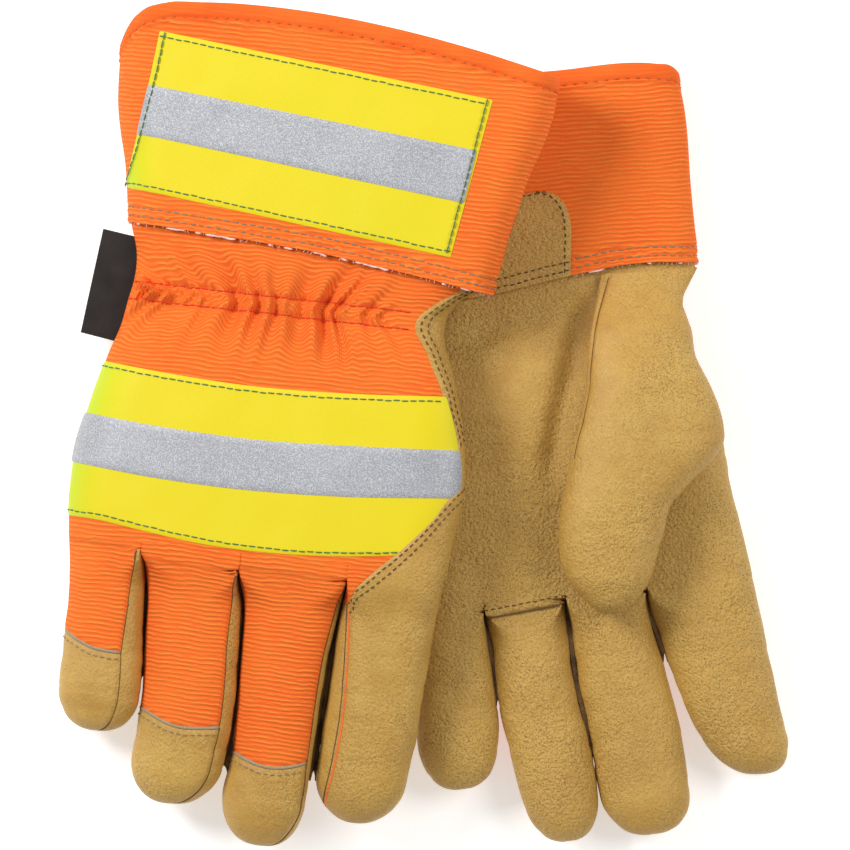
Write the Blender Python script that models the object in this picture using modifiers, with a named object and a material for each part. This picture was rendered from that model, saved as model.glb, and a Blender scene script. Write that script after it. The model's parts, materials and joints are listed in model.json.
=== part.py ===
"""A pair of leather and fabric work gloves with safety cuffs, lying one across the other on a table.

The left glove lies palm up. The right glove lies back up, propped on its own folded thumb, and
leans down to its little finger. Each glove is drawn in a hand frame, in millimetres: x runs across
the hand towards the thumb, y from the wrist towards the fingertips, z towards the back of the hand.
The hand, the cuff, each finger and the thumb is one rounded form, a grid of sections and angles.
Every panel is some of a form's cells, trimmed along its seams and thickened inwards.
"""

import math

import bmesh
import bpy
from mathutils import Matrix, Vector

MM = 0.001

# Walls, in millimetres.
LEATHER = 1.4
FABRIC = 1.2
CUFF_WALL = 1.5
LINING = 0.8
TAPE = 0.5
STRIPE = 0.35

# Clear space between two layers, what each panel loses along its edges, and what a tape stands back.
LAYER_GAP = 0.35
SEAM_TRIM = 0.6
THUMB_TRIM = 0.8
TAPE_TRIM = 1.6

# Heights of the back and of the palm over the middle of the section, by y.
BACK_HEIGHT = 11.0
HAND_HEIGHTS = [
    (-25, BACK_HEIGHT, 5.4), (0, BACK_HEIGHT, 6.4), (30, BACK_HEIGHT, 9.8), (44, BACK_HEIGHT, 11.0),
    (110, BACK_HEIGHT, 10.4),
]
CUFF_HEIGHTS = (BACK_HEIGHT, 5.4)
FINGER_HEIGHTS = (10.8, 9.4)
TIP_HEIGHT = 2.3
TIP_ROUNDING = 13.0
TIP_NARROWING = 0.42

# How square the sections are: 2 is an ellipse, and more is squarer.
HAND_POWER = 3.2
FINGER_POWER = 2.5

# Angles round a section, with 0 at the thumb side, 90 on the back and 270 on the palm.
FLAT_DEGREES = 78
HAND_DEGREES = [6, 14, 24, 36, 50, 64, FLAT_DEGREES, 102, 116, 130, 144, 156, 166, 174]
HAND_SEAM = (24, 156)
FINGER_DEGREES = [0, 12, 34, 54, 78, 102, 126, 146, 168]
FINGER_SEAM = (34, 146)
SIDE_SEAM = (0, 180)
THUMB_HOLE = (282, 310)

# The middle of the back is one flat band, and the left glove's silver stripes rest on the table there.
FLAT_BACK = BACK_HEIGHT * math.sin(math.radians(FLAT_DEGREES)) ** (2 / HAND_POWER)

# Rows of the hand form at both ends of the thumb hole, and where the thumb's base lies.
HOLE_Y = (9.0, 29.0)
THUMB_BASE_Y = 8.0
THUMB_ROOF_Y = 32.0
PALM_CLEARANCE = 0.7

# Corners of a plan quad are given thumb side first on the wrist side, then on the finger side.
RIGHT = {
    "name": "right",
    "wrist_mm": (-48.84, 39.36),
    "turn_deg": 6.5,
    "lean": math.tan(math.radians(12.5)),
    "lift": 22.8,
    "dorsal": 1,
    "knuckle_y": 80.0,
    "hand": [
        (-25, -49.5, 66.0), (-10, -45.9, 58.0), (0, -46.2, 56.3), (12, -48.6, 59.3),
        (25, -52.3, 64.0), (40, -56.2, 67.2), (56, -58.5, 67.8), (80, -57.0, 65.4),
    ],
    "knuckle_tape_y": (24.0, 74.0),
    "knuckle_stripe_y": (41.0, 57.5),
    "cuff": [
        (0.0, (-48.8, -22.8), (69.6, -12.2)), (0.2, (-51.0, -35.0), (73.0, -25.5)),
        (0.6, (-55.8, -61.0), (80.0, -55.0)), (0.85, (-57.6, -79.5), (82.9, -74.5)),
        (1.0, (-54.0, -91.5), (82.8, -83.5)),
    ],
    "cuff_crown": 5.0,
    "cuff_tape_deg": (50, 144),
    "fingers": {
        "little": {"edges": [(80, -57.0, -33.8), (105, -55.2, -32.0), (131, -55.0, -30.4)], "tip": 143.3,
                   "droop": 0.0, "seam": 114.5},
        "ring": {"edges": [(80, -32.2, -1.2), (110, -29.6, 0.2), (131, -27.8, 0.4), (152, -28.6, -0.4)],
                 "tip": 163.8, "droop": 0.05, "seam": 137.0},
        "middle": {"edges": [(80, 0.0, 33.4), (108, 1.8, 31.2), (160, 1.8, 29.4)], "tip": 174.2,
                   "droop": 0.10, "seam": 147.0},
        "index": {"edges": [(80, 34.8, 65.4), (115, 32.6, 62.9), (152, 31.4, 60.4)], "tip": 163.0,
                  "droop": 0.15, "seam": 139.0},
    },
    "thumb": {
        "edges": [(8, 12.0, 44.0), (30, 8.5, 44.0), (48, 4.5, 43.0), (66, 1.0, 37.0), (82, -0.6, 31.5),
                  (94, 1.0, 28.0)],
        "tip": 102.0, "height": 6.6,
    },
    "patch": [(12.0, -40.0), (-26.0, -42.0), (12.0, -18.0), (-26.0, -21.0)],
    "label": [(-49.2, -16.6), (-60.0, -18.6), (-51.0, 16.0), (-61.8, 14.6)],
}

LEFT = {
    "name": "left",
    "wrist_mm": (39.46, 40.66),
    "turn_deg": -4.0,
    "lean": 0.0,
    "lift": FLAT_BACK + 2 * LAYER_GAP + TAPE + STRIPE,
    "dorsal": -1,
    "knuckle_y": 103.6,
    "hand": [
        (-10, -46.0, 50.0), (-3, -43.0, 47.3), (2, -42.5, 44.4), (12, -43.0, 46.6), (21, -43.5, 47.6),
        (32, -44.5, 52.3), (49, -46.5, 54.8), (80, -47.5, 58.8), (104, -48.0, 62.4),
    ],
    "knuckle_tape_y": (44.0, 94.0),
    "knuckle_stripe_y": (61.0, 77.5),
    "cuff": [
        (0.0, (-47.0, -6.0), (50.0, -10.4)), (0.2, (-49.0, -19.5), (49.6, -23.0)),
        (0.6, (-52.0, -46.5), (49.0, -49.0)), (0.85, (-53.5, -63.5), (48.4, -65.0)),
        (1.0, (-54.0, -74.0), (47.4, -74.2)),
    ],
    "cuff_crown": 1.0,
    "cuff_tape_deg": (36, 144),
    "fingers": {
        "little": {"edges": [(104, -48.0, -26.4), (125, -50.6, -25.6), (144, -50.2, -25.4)], "tip": 156.2,
                   "droop": 0.0, "seam": 128.0},
        "ring": {"edges": [(104, -25.0, -0.4), (125, -23.8, 1.0), (145, -21.4, 4.0), (163, -18.0, 5.8)],
                 "tip": 175.0, "droop": 0.0, "seam": 148.0},
        "middle": {"edges": [(104, 0.8, 26.6), (125, 2.2, 31.2), (145, 5.2, 34.6), (163, 7.4, 36.0)],
                   "tip": 175.2, "droop": 0.0, "seam": 148.0},
        "index": {"edges": [(104, 28.6, 62.4), (126, 33.8, 65.6), (146, 41.2, 69.0)], "tip": 158.2,
                  "droop": 0.0, "seam": 134.0},
    },
    "thumb": {
        "edges": [(8, 14.4, 44.0), (20, 12.4, 46.4), (34, 9.6, 50.4), (48, 5.4, 50.0), (60, 1.8, 43.0),
                  (72, -0.6, 35.0), (84, -0.6, 30.6), (93, 2.2, 27.4)],
        "tip": 102.2, "height": 9.2,
    },
    "patch": [(10.2, -36.0), (-24.0, -38.0), (10.0, -14.0), (-24.0, -12.0)],
    "label": [(-52.5, -30.0), (-63.5, -29.0), (-48.8, 2.0), (-59.8, 4.0)],
}

# Base colour, roughness, metallic.
MATERIALS = {
    "leather": ((0.56, 0.38, 0.13), 0.75, 0.0),
    "orange_fabric": ((0.93, 0.17, 0.02), 0.85, 0.0),
    "yellow_tape": ((0.86, 0.83, 0.02), 0.55, 0.0),
    "silver_tape": ((0.52, 0.52, 0.56), 0.35, 0.3),
    "lining": ((0.85, 0.84, 0.80), 0.95, 0.0),
    "elastic": ((0.80, 0.78, 0.74), 0.9, 0.0),
    "label": ((0.03, 0.025, 0.025), 0.7, 0.0),
}


def material(slot):
    found = bpy.data.materials.get(slot)
    if found:
        return found
    colour, roughness, metallic = MATERIALS[slot]
    made = bpy.data.materials.new(slot)
    made.use_nodes = True
    shader = made.node_tree.nodes["Principled BSDF"]
    shader.inputs["Base Color"].default_value = (*colour, 1.0)
    shader.inputs["Roughness"].default_value = roughness
    shader.inputs["Metallic"].default_value = metallic
    return made


def along(stations, y):
    """The values of a list of (y, value, ...) stations at y, in straight runs between them."""
    if y <= stations[0][0]:
        return stations[0][1:]
    for a, b in zip(stations, stations[1:]):
        if y <= b[0]:
            t = (y - a[0]) / (b[0] - a[0])
            return tuple(p + (q - p) * t for p, q in zip(a[1:], b[1:]))
    return stations[-1][1:]


def spread(first, last, count):
    return [first + (last - first) * i / (count - 1) for i in range(count)]


def all_round(degrees):
    """The angles of half a section, repeated for its other half."""
    return degrees + [d + 180 for d in degrees]


def rounded(middle, half, heights, power, degrees):
    """A point of a rounded section, with its own height over the back and under the palm."""
    c, s = math.cos(math.radians(degrees)), math.sin(math.radians(degrees))
    x = middle + half * math.copysign(abs(c) ** (2 / power), c)
    height = heights[0] if s > 0 else heights[1]
    return x, height * math.copysign(abs(s) ** (2 / power), s)


class Form:
    """A rounded surface: one closed ring of points for each station along it."""

    def __init__(self, stations, degrees, ring):
        self.stations = stations
        self.degrees = degrees
        self.rings = [[ring(station, d) for d in degrees] for station in stations]

    def cells(self, stations, degrees):
        """The cells between two stations and between two angles, as pairs of indexes."""
        rows = [i for i, s in enumerate(self.stations[:-1]) if stations[0] <= s < stations[1]]
        count = len(self.degrees)
        first = self.degrees.index(degrees[0] % 360)
        last = self.degrees.index(degrees[1] % 360)
        steps = (last - first) % count or count
        return {(i, (first + j) % count) for i in rows for j in range(steps)}


class Glove:
    """One glove: its plan, its place on the table, and the empties that its bodies hang on."""

    def __init__(self, plan, collection):
        self.plan = plan
        self.collection = collection
        self.mirrored = plan["dorsal"] > 0
        turn = math.radians(plan["turn_deg"])
        self.across = Vector((math.cos(turn), -math.sin(turn)))
        self.forward = Vector((-math.sin(turn), -math.cos(turn)))
        self.bodies = {}

    def place(self, x, y, z):
        """A hand-frame point in millimetres as a world point in metres."""
        plan = self.plan
        flat = Vector(plan["wrist_mm"]) + self.across * x + self.forward * y
        return Vector((flat.x, flat.y, plan["lift"] + plan["dorsal"] * z + plan["lean"] * x)) * MM

    def body(self, name, base, ahead=None, parent=None, lifts=True):
        """An empty on a body's joint. Turning about its X lifts, or lowers, what lies ahead of it."""
        x, y, z = base
        here = self.place(x, y, z)
        y_axis = (self.place(*(ahead or (x, y + 1, z))) - here).normalized()
        across = (self.place(x + 1, y, z) - here) * (-1 if lifts else 1)
        x_axis = (across - y_axis * across.dot(y_axis)).normalized()
        axes = Matrix((x_axis, y_axis, x_axis.cross(y_axis))).transposed()
        empty = bpy.data.objects.new(f"{self.plan['name']}_{name}_axis", None)
        empty.empty_display_size = 10 * MM
        self.collection.objects.link(empty)
        empty.matrix_world = Matrix.Translation(here) @ axes.to_4x4()
        if parent:
            empty.parent = self.bodies[parent]
            empty.matrix_parent_inverse = self.bodies[parent].matrix_world.inverted()
        self.bodies[name] = empty

    def panel(self, name, body, form, cells, wall, slot, raised=0.0, trim=SEAM_TRIM):
        """Some cells of a form as an open sheet, trimmed, raised off the form and thickened inwards."""
        to_body = self.bodies[body].matrix_world.inverted()
        mesh = bmesh.new()
        used = {}
        for i, j in sorted(cells):
            corners = []
            for row, column in ((i, j), (i, j + 1), (i + 1, j + 1), (i + 1, j)):
                key = (row, column % len(form.degrees))
                if key not in used:
                    used[key] = mesh.verts.new(to_body @ self.place(*form.rings[key[0]][key[1]]))
                corners.append(used[key])
            mesh.faces.new(corners if self.mirrored else corners[::-1])
        mesh.normal_update()
        edge = bmesh.ops.inset_region(mesh, faces=mesh.faces[:], use_boundary=True, use_even_offset=True,
                                      thickness=trim * MM, depth=raised * MM)
        bmesh.ops.delete(mesh, geom=edge["faces"], context="FACES")
        data = bpy.data.meshes.new(name)
        mesh.to_mesh(data)
        mesh.free()
        data.shade_smooth()
        obj = bpy.data.objects.new(f"{self.plan['name']}_{name}", data)
        obj.data.materials.append(material(slot))
        obj.parent = self.bodies[body]
        self.collection.objects.link(obj)
        shell = obj.modifiers.new("thickness", "SOLIDIFY")
        shell.thickness = wall * MM
        shell.offset = -1.0
        return obj

    def plate(self, name, body, corners, z, wall, slot):
        """A flat four-cornered sheet at one height of the hand frame."""
        thumb_wrist, little_wrist, thumb_tip, little_tip = corners
        to_body = self.bodies[body].matrix_world.inverted()
        mesh = bmesh.new()
        points = [to_body @ self.place(x, y, z) for x, y in (thumb_wrist, little_wrist, little_tip, thumb_tip)]
        verts = [mesh.verts.new(p) for p in points]
        mesh.faces.new(verts if self.mirrored else verts[::-1])
        data = bpy.data.meshes.new(name)
        mesh.to_mesh(data)
        mesh.free()
        obj = bpy.data.objects.new(f"{self.plan['name']}_{name}", data)
        obj.data.materials.append(material(slot))
        obj.parent = self.bodies[body]
        self.collection.objects.link(obj)
        shell = obj.modifiers.new("thickness", "SOLIDIFY")
        shell.thickness = wall * MM
        shell.offset = -1.0 if z > 0 else 1.0

    # Forms.

    def hand_form(self):
        plan = self.plan
        tape, stripe = plan["knuckle_tape_y"], plan["knuckle_stripe_y"]
        stations = [-99, -3.5, 3.5, *HOLE_Y, *tape, *stripe, plan["knuckle_y"]]

        def ring(y, degrees):
            if y == -99:
                left, right = along(plan["hand"], self.cuff_seam(0))
                x, _ = rounded((left + right) / 2, (right - left) / 2, (1, 1), HAND_POWER, degrees)
                y = self.cuff_seam(x)
            left, right = along(plan["hand"], y)
            heights = along(HAND_HEIGHTS, y)
            x, z = rounded((left + right) / 2, (right - left) / 2, heights, HAND_POWER, degrees)
            return x, y, z

        return Form(sorted(stations), all_round(HAND_DEGREES), ring)

    def cuff_ends(self, share):
        for a, b in zip(self.plan["cuff"], self.plan["cuff"][1:]):
            if share <= b[0]:
                t = (share - a[0]) / (b[0] - a[0])
                return tuple(Vector(p).lerp(Vector(q), t) for p, q in zip(a[1:], b[1:]))

    def cuff_y(self, share, x):
        """The y of a line across the cuff, crowned towards its mouth."""
        little, thumb = self.cuff_ends(share)
        t = min(1, max(0, (x - little.x) / (thumb.x - little.x)))
        return little.y + (thumb.y - little.y) * t - self.plan["cuff_crown"] * share * math.sin(math.pi * t)

    def cuff_seam(self, x):
        return self.cuff_y(0, x)

    def cuff_form(self, inset=0.0):
        heights = tuple(h - inset for h in CUFF_HEIGHTS)

        def ring(share, degrees):
            little, thumb = self.cuff_ends(share)
            half = (thumb.x - little.x) / 2 - 2 * inset
            x, z = rounded((little.x + thumb.x) / 2, half, heights, HAND_POWER, degrees)
            return x, self.cuff_y(share, x), z

        shares = [1.0, 0.85, 0.62, 0.41, 0.2, 0.0]
        form = Form(shares, all_round(HAND_DEGREES), ring)
        form.stations = [-s for s in shares]
        return form

    def finger_form(self, finger, stations, heights, centre):
        """A rounded tube with a domed end, whose last section is a short slit."""
        dome = [finger["tip"] - TIP_ROUNDING * f for f in (1.0, 0.72, 0.46, 0.24, 0.09, 0.0)]
        base = stations[0]

        def ring(y, degrees):
            left, right = along(finger["edges"], y)
            rounding = max(0.0, 1 - (finger["tip"] - y) / TIP_ROUNDING)
            narrow = max((1 - rounding ** 2.4) ** (1 / 2.4), TIP_NARROWING)
            shallow = math.sqrt(1 - rounding ** 2)
            tall = tuple(max(h * shallow, TIP_HEIGHT) for h in heights)
            x, z = rounded((left + right) / 2, (right - left) / 2 * narrow, tall, FINGER_POWER, degrees)
            return x, y, centre + z - finger.get("droop", 0.0) * (y - base)

        clear = [y for y in stations if y < dome[0] - 2]
        return Form(clear + dome, all_round(FINGER_DEGREES), ring)

    # Sub-parts.

    def make_hand(self):
        form = self.hand_form()
        plan = self.plan
        whole = (-99, plan["knuckle_y"])
        back = form.cells(whole, HAND_SEAM)
        palm = form.cells(whole, HAND_SEAM[::-1])
        hole = form.cells(HOLE_Y, THUMB_HOLE)
        lined = form.cells(whole, (194, 346)) - hole
        gathered = form.cells((-3.5, 3.5), (50, 130))
        tape = form.cells(plan["knuckle_tape_y"], HAND_SEAM)
        stripe = form.cells(plan["knuckle_stripe_y"], HAND_SEAM)
        self.panel("back_panel", "hand", form, back, FABRIC, "orange_fabric")
        self.panel("palm", "hand", form, palm - hole, LEATHER, "leather")
        self.panel("palm_lining", "hand", form, lined, LINING, "lining", -LEATHER - LAYER_GAP)
        self.panel("wrist_elastic", "hand", form, gathered, LINING, "elastic", -FABRIC - LAYER_GAP)
        self.tape_and_stripe("knuckle", form, tape, stripe)

    def tape_and_stripe(self, where, form, tape, stripe):
        over_tape = LAYER_GAP + TAPE
        over_stripe = over_tape + LAYER_GAP + STRIPE
        self.panel(f"{where}_tape", "hand", form, tape, TAPE, "yellow_tape", over_tape, TAPE_TRIM)
        self.panel(f"{where}_stripe", "hand", form, stripe, STRIPE, "silver_tape", over_stripe, TAPE_TRIM)

    def make_cuff(self):
        form = self.cuff_form()
        inside = self.cuff_form(CUFF_WALL + 2 * LAYER_GAP)
        whole = form.cells((-1, 0), (HAND_DEGREES[0], HAND_DEGREES[0]))
        self.panel("cuff", "hand", form, whole, CUFF_WALL, "orange_fabric")
        self.panel("cuff_lining", "hand", inside, whole, LINING, "lining")
        tape = form.cells((-0.85, -0.2), self.plan["cuff_tape_deg"])
        stripe = form.cells((-0.62, -0.41), self.plan["cuff_tape_deg"])
        self.tape_and_stripe("cuff", form, tape, stripe)
        self.plate("pulse_patch", "hand", self.plan["patch"], -CUFF_HEIGHTS[1] - LAYER_GAP - LEATHER,
                   LEATHER, "leather")
        self.plate("label", "hand", self.plan["label"], 0.4, LINING, "label")

    def make_finger(self, name):
        finger = self.plan["fingers"][name]
        base, seam = self.plan["knuckle_y"], finger["seam"]
        middle = sum(along(finger["edges"], base)) / 2
        ahead = sum(along(finger["edges"], seam)) / 2
        sag = finger["droop"] * (seam - base)
        crease = FINGER_HEIGHTS[0] if self.plan["dorsal"] > 0 else -FINGER_HEIGHTS[1]
        self.body(name, (middle, base, crease), (ahead, seam, crease - sag), "hand")
        form = self.finger_form(finger, spread(base, seam, 4), FINGER_HEIGHTS, 0.0)
        shaft, cap = (base, seam), (seam, finger["tip"])
        if name == "index":
            self.panel("index_back", name, form, form.cells(shaft, FINGER_SEAM) | form.cells(cap, SIDE_SEAM),
                       FABRIC, "leather")
        else:
            self.panel(f"{name}_back", name, form, form.cells(shaft, FINGER_SEAM), FABRIC, "orange_fabric")
            self.panel(f"{name}_tip", name, form, form.cells(cap, SIDE_SEAM), LEATHER, "leather")
        front = form.cells(shaft, FINGER_SEAM[::-1]) | form.cells(cap, SIDE_SEAM[::-1])
        self.panel(f"{name}_front", name, form, front, LEATHER, "leather")

    def make_thumb(self):
        thumb = self.plan["thumb"]
        tall = thumb["height"]
        centre = -(HAND_HEIGHTS[3][2] + PALM_CLEARANCE + tall)
        ahead = sum(along(thumb["edges"], 80)) / 2
        self.body("thumb", (30.0, THUMB_BASE_Y, centre + tall), (ahead, 80, centre + tall), "hand",
                  lifts=self.plan["dorsal"] < 0)
        stations = [THUMB_BASE_Y, 20.0, THUMB_ROOF_Y, 42.0, 52.0, 63.0, 75.0]
        form = self.finger_form(thumb, stations, (tall, tall), centre)
        whole, roof = (THUMB_BASE_Y, thumb["tip"]), (THUMB_ROOF_Y, thumb["tip"])
        self.panel("thumb_front", "thumb", form, form.cells(whole, SIDE_SEAM[::-1]), LEATHER, "leather",
                   trim=THUMB_TRIM)
        self.panel("thumb_back", "thumb", form, form.cells(roof, SIDE_SEAM), LEATHER, "leather",
                   trim=THUMB_TRIM)

    def make(self):
        self.body("hand", (0, 0, 0))
        self.make_hand()
        self.make_cuff()
        for name in self.plan["fingers"]:
            self.make_finger(name)
        self.make_thumb()


def main():
    for obj in list(bpy.data.objects):
        bpy.data.objects.remove(obj)
    parts = bpy.data.collections.new("work_gloves")
    bpy.context.scene.collection.children.link(parts)
    for plan in (LEFT, RIGHT):
        Glove(plan, parts).make()


main()
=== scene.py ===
"""Looks of the pair of work gloves: fabric, leather, tapes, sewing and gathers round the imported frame.

Each glove is drawn in its own hand frame, in millimetres: x across the hand towards the thumb, y from
the wrist to the fingertips, z to the back of the hand. The frame's hinges say where that hand lies.
A Skin is a rounded surface. A Patch is a grid of points on a skin, with folds, and becomes one panel.
"""

import itertools
import json
import math

import bpy
import numpy as np
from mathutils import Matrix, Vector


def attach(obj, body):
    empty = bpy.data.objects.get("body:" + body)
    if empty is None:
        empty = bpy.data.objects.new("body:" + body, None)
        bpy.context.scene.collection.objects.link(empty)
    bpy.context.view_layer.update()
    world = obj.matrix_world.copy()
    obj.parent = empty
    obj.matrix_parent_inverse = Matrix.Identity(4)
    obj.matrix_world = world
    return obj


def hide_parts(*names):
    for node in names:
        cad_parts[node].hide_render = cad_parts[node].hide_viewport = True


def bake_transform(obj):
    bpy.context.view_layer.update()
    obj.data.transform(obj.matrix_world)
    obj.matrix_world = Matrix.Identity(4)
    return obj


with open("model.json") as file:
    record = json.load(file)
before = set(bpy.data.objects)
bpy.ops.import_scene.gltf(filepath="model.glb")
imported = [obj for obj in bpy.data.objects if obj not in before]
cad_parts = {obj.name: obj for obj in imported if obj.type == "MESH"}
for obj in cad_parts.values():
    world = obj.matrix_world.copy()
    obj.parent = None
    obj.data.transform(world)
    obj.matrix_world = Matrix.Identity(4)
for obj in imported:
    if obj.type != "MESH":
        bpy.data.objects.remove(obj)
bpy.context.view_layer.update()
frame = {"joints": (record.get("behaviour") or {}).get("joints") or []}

MM = 0.001

# The usual distance between a panel's points in millimetres, and how many points lie across half a skin.
CELL = 0.9
HALF_COLUMNS = 140

# Walls of the panels, and how far the layers stand above the skin they are sewn on, in millimetres.
LEATHER = 1.3
FABRIC = 1.0
CUFF_FABRIC = 1.3
LINING = 0.5
LABEL = 0.7
GUSSET = 0.9
CUFF_RISE = 0.9
PATCH_RISE = 1.9
SIDE_ROWS_RISE = 1.9

# The two layers of reflective tape: name, material, wall, rise, and how deep and wide its edges dip.
TAPE_LAYERS = (
    ("tape", "yellow", 0.45, 0.55, 0.35, 0.8),
    ("stripe", "silver", 0.3, 0.95, 0.25, 0.5),
)

# Where the sewing runs, in from the edge: the cuff's hem and seam, the tapes, and the wrist's elastic (y).
HEM_DEPTH = 5.0
CUFF_ROWS = (2.2, 5.0)
TAPE_INSET = 1.7
ELASTIC_ROWS = (-3.3, 2.3)
ELASTIC_MIDDLE = -0.5

# The wrist's puckers between the elastic's rows, and the folds that fan out from them.
PUCKER_PITCH = 4.7
PLEAT_PITCH = 6.2

# Stitches: pitch, length and radius.
RUNNING = (2.7, 2.45, 0.24)
FINE = (2.3, 1.5, 0.24)
BOLD = (2.8, 2.2, 0.24)
HEM = (3.4, 1.0, 0.34)

# The camera looks straight down from far off. Metres.
CAMERA_DISTANCE = 3.0
VIEW_WIDTH = 0.275
VIEW_HEIGHT = 0.024
VIEW_CENTRE = (0.00066, 0.00116)

# Each lamp's name, place and diameter in metres, and power in watts. The table is in metres too.
LAMPS = (("key", (-0.95, 0.6, 1.0), 0.6, 17.0), ("fill", (0.9, 0.3, 1.1), 0.8, 9.0))
WORLD_LIGHT = 0.345
TABLE_REACH = 3
TABLE_LEVEL = -0.0006
TABLE_GLOW = 0.42

FINGERS = ("little", "ring", "middle", "index")

# The hand's panels start inside the cuff.
HAND_START = -27


# Numbers and curves.

def smooth(t):
    """A soft step from 0 to 1."""
    t = np.clip(t, 0.0, 1.0)
    return t * t * (3 - 2 * t)


def spline(*knots):
    """A smooth function through (t, value) knots that stays level beyond both ends."""
    t, v = np.array(knots, float).T
    slope = np.gradient(v, t)

    def at(x):
        x = np.clip(np.asarray(x, float), t[0], t[-1])
        i = np.clip(np.searchsorted(t, x) - 1, 0, len(t) - 2)
        h = t[i + 1] - t[i]
        s = (x - t[i]) / h
        ends = (1 + 2 * s) * (1 - s) ** 2 * v[i] + s * s * (3 - 2 * s) * v[i + 1]
        return ends + h * s * (1 - s) * ((1 - s) * slope[i] - s * slope[i + 1])

    return at


def level(value):
    """The function that gives one value everywhere. A function stays as it is."""
    return value if callable(value) else lambda x: np.zeros_like(np.asarray(x, float)) + value


def bump(distance, width):
    """A soft hump of height 1 at distance 0."""
    return np.exp(-(distance / width) ** 2)


def lattice(x, y, z, seed):
    """A repeatable number from -1 to 1 for each whole point."""
    h = (x * 374761393 + y * 668265263 + z * 1440662683 + seed * 974634777) & 0xFFFFFFFF
    h = ((h ^ (h >> 13)) * 1274126177) & 0xFFFFFFFF
    return ((h ^ (h >> 16)) & 0xFFFF) / 32767.5 - 1.0


def noise(points, size, seed=0):
    """Smooth noise from -1 to 1, with a cell of the given size or three sizes."""
    q = np.asarray(points, float) / np.asarray(size, float)
    cell = np.floor(q).astype(np.int64)
    f = q - cell
    f = f * f * (3 - 2 * f)
    total = 0.0
    for corner in itertools.product((0, 1), repeat=3):
        near = [np.abs((1 - corner[k]) - f[..., k]) for k in range(3)]
        at = [cell[..., k] + corner[k] for k in range(3)]
        total = total + near[0] * near[1] * near[2] * lattice(*at, seed)
    return total


def even(points, count):
    """A line of points spread evenly along the same line."""
    points = np.asarray(points, float)
    run = np.concatenate([[0], np.cumsum(np.linalg.norm(np.diff(points, axis=0), axis=1))])
    at = np.linspace(0, run[-1], count)
    return np.stack([np.interp(at, run, points[:, k]) for k in range(3)], axis=1)


def unit(v):
    return v / np.maximum(np.linalg.norm(v, axis=-1, keepdims=True), 1e-9)


def half_section(x0, x1, r0, r1, power=2.2, count=22):
    """Half a rounded section: x from side to side, and its share of the full height."""
    a = np.linspace(0, math.pi / 2, count)
    rise = np.sin(a) ** (2 / power)
    run = 1 - np.maximum(np.cos(a), 0) ** (2 / power)
    flat = np.linspace(x0 + r0, x1 - r1, 30)[1:-1]
    x = np.concatenate([x0 + r0 * run, flat, (x1 - r1 * run)[::-1]])
    return x, np.concatenate([rise, np.ones(28), rise[::-1]])


class Skin:
    """A rounded surface by u and v. u is 0 at the little side, 1 at the thumb side over the back and 2 at
    the little side again under the palm. v runs towards the fingertips."""

    def __init__(self, vs, halves):
        self.vs = np.asarray(vs, float)
        rows = []
        for v in self.vs:
            upper, lower = halves(v)
            rows.append(np.vstack([even(upper, HALF_COLUMNS), even(lower[::-1], HALF_COLUMNS)[1:]]))
        self.grid = np.array(rows)

    def at(self, u, v):
        u, v = np.broadcast_arrays(np.asarray(u, float), np.asarray(v, float))
        a = np.interp(v, self.vs, np.arange(len(self.vs)))
        u = np.where(u > 2, u - 2, u)
        b = np.clip(u, 0, 2) * (HALF_COLUMNS - 1)
        i = np.minimum(a.astype(int), len(self.vs) - 2)
        j = np.minimum(b.astype(int), self.grid.shape[1] - 2)
        f, g = (a - i)[..., None], (b - j)[..., None]
        near = self.grid[i, j] * (1 - g) + self.grid[i, j + 1] * g
        far = self.grid[i + 1, j] * (1 - g) + self.grid[i + 1, j + 1] * g
        return near * (1 - f) + far * f

    def seam(self, x_of, lower=False):
        """u as a function of v for a line whose x is a number or a function of v."""
        x_of = level(x_of)
        found = []
        for v, row in zip(self.vs, self.grid):
            if lower:
                xs = row[HALF_COLUMNS - 1:, 0][::-1]
                found.append(2 - np.interp(x_of(v), xs, np.linspace(0, 1, HALF_COLUMNS)))
            else:
                found.append(np.interp(x_of(v), row[:HALF_COLUMNS, 0], np.linspace(0, 1, HALF_COLUMNS)))
        return lambda v: np.interp(v, self.vs, found)

    def find(self, x, y, lower=False):
        """u and v of points of the plan, by Newton steps."""
        x, y = np.broadcast_arrays(np.asarray(x, float), np.asarray(y, float))
        u = np.full(x.shape, 1.5 if lower else 0.5)
        v = np.full(x.shape, self.vs.mean())
        for _ in range(25):
            here = self.at(u, v)
            eu, ev = 0.004, (self.vs[-1] - self.vs[0]) * 0.004
            du = (self.at(u + eu, v) - self.at(u - eu, v)) / (2 * eu)
            dv = (self.at(u, v + ev) - self.at(u, v - ev)) / (2 * ev)
            ex, ey = x - here[..., 0], y - here[..., 1]
            det = du[..., 0] * dv[..., 1] - du[..., 1] * dv[..., 0]
            det = np.where(np.abs(det) < 1e-3, 1e-3, det)
            low, high = (1.01, 1.99) if lower else (0.01, 0.99)
            u = np.clip(u + 0.8 * (ex * dv[..., 1] - ey * dv[..., 0]) / det, low, high)
            v = np.clip(v + 0.8 * (ey * du[..., 0] - ex * du[..., 1]) / det, self.vs[0], self.vs[-1])
        return u, v


# The plan of each glove. Outlines are (y, x) knots in the hand frame.

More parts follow.
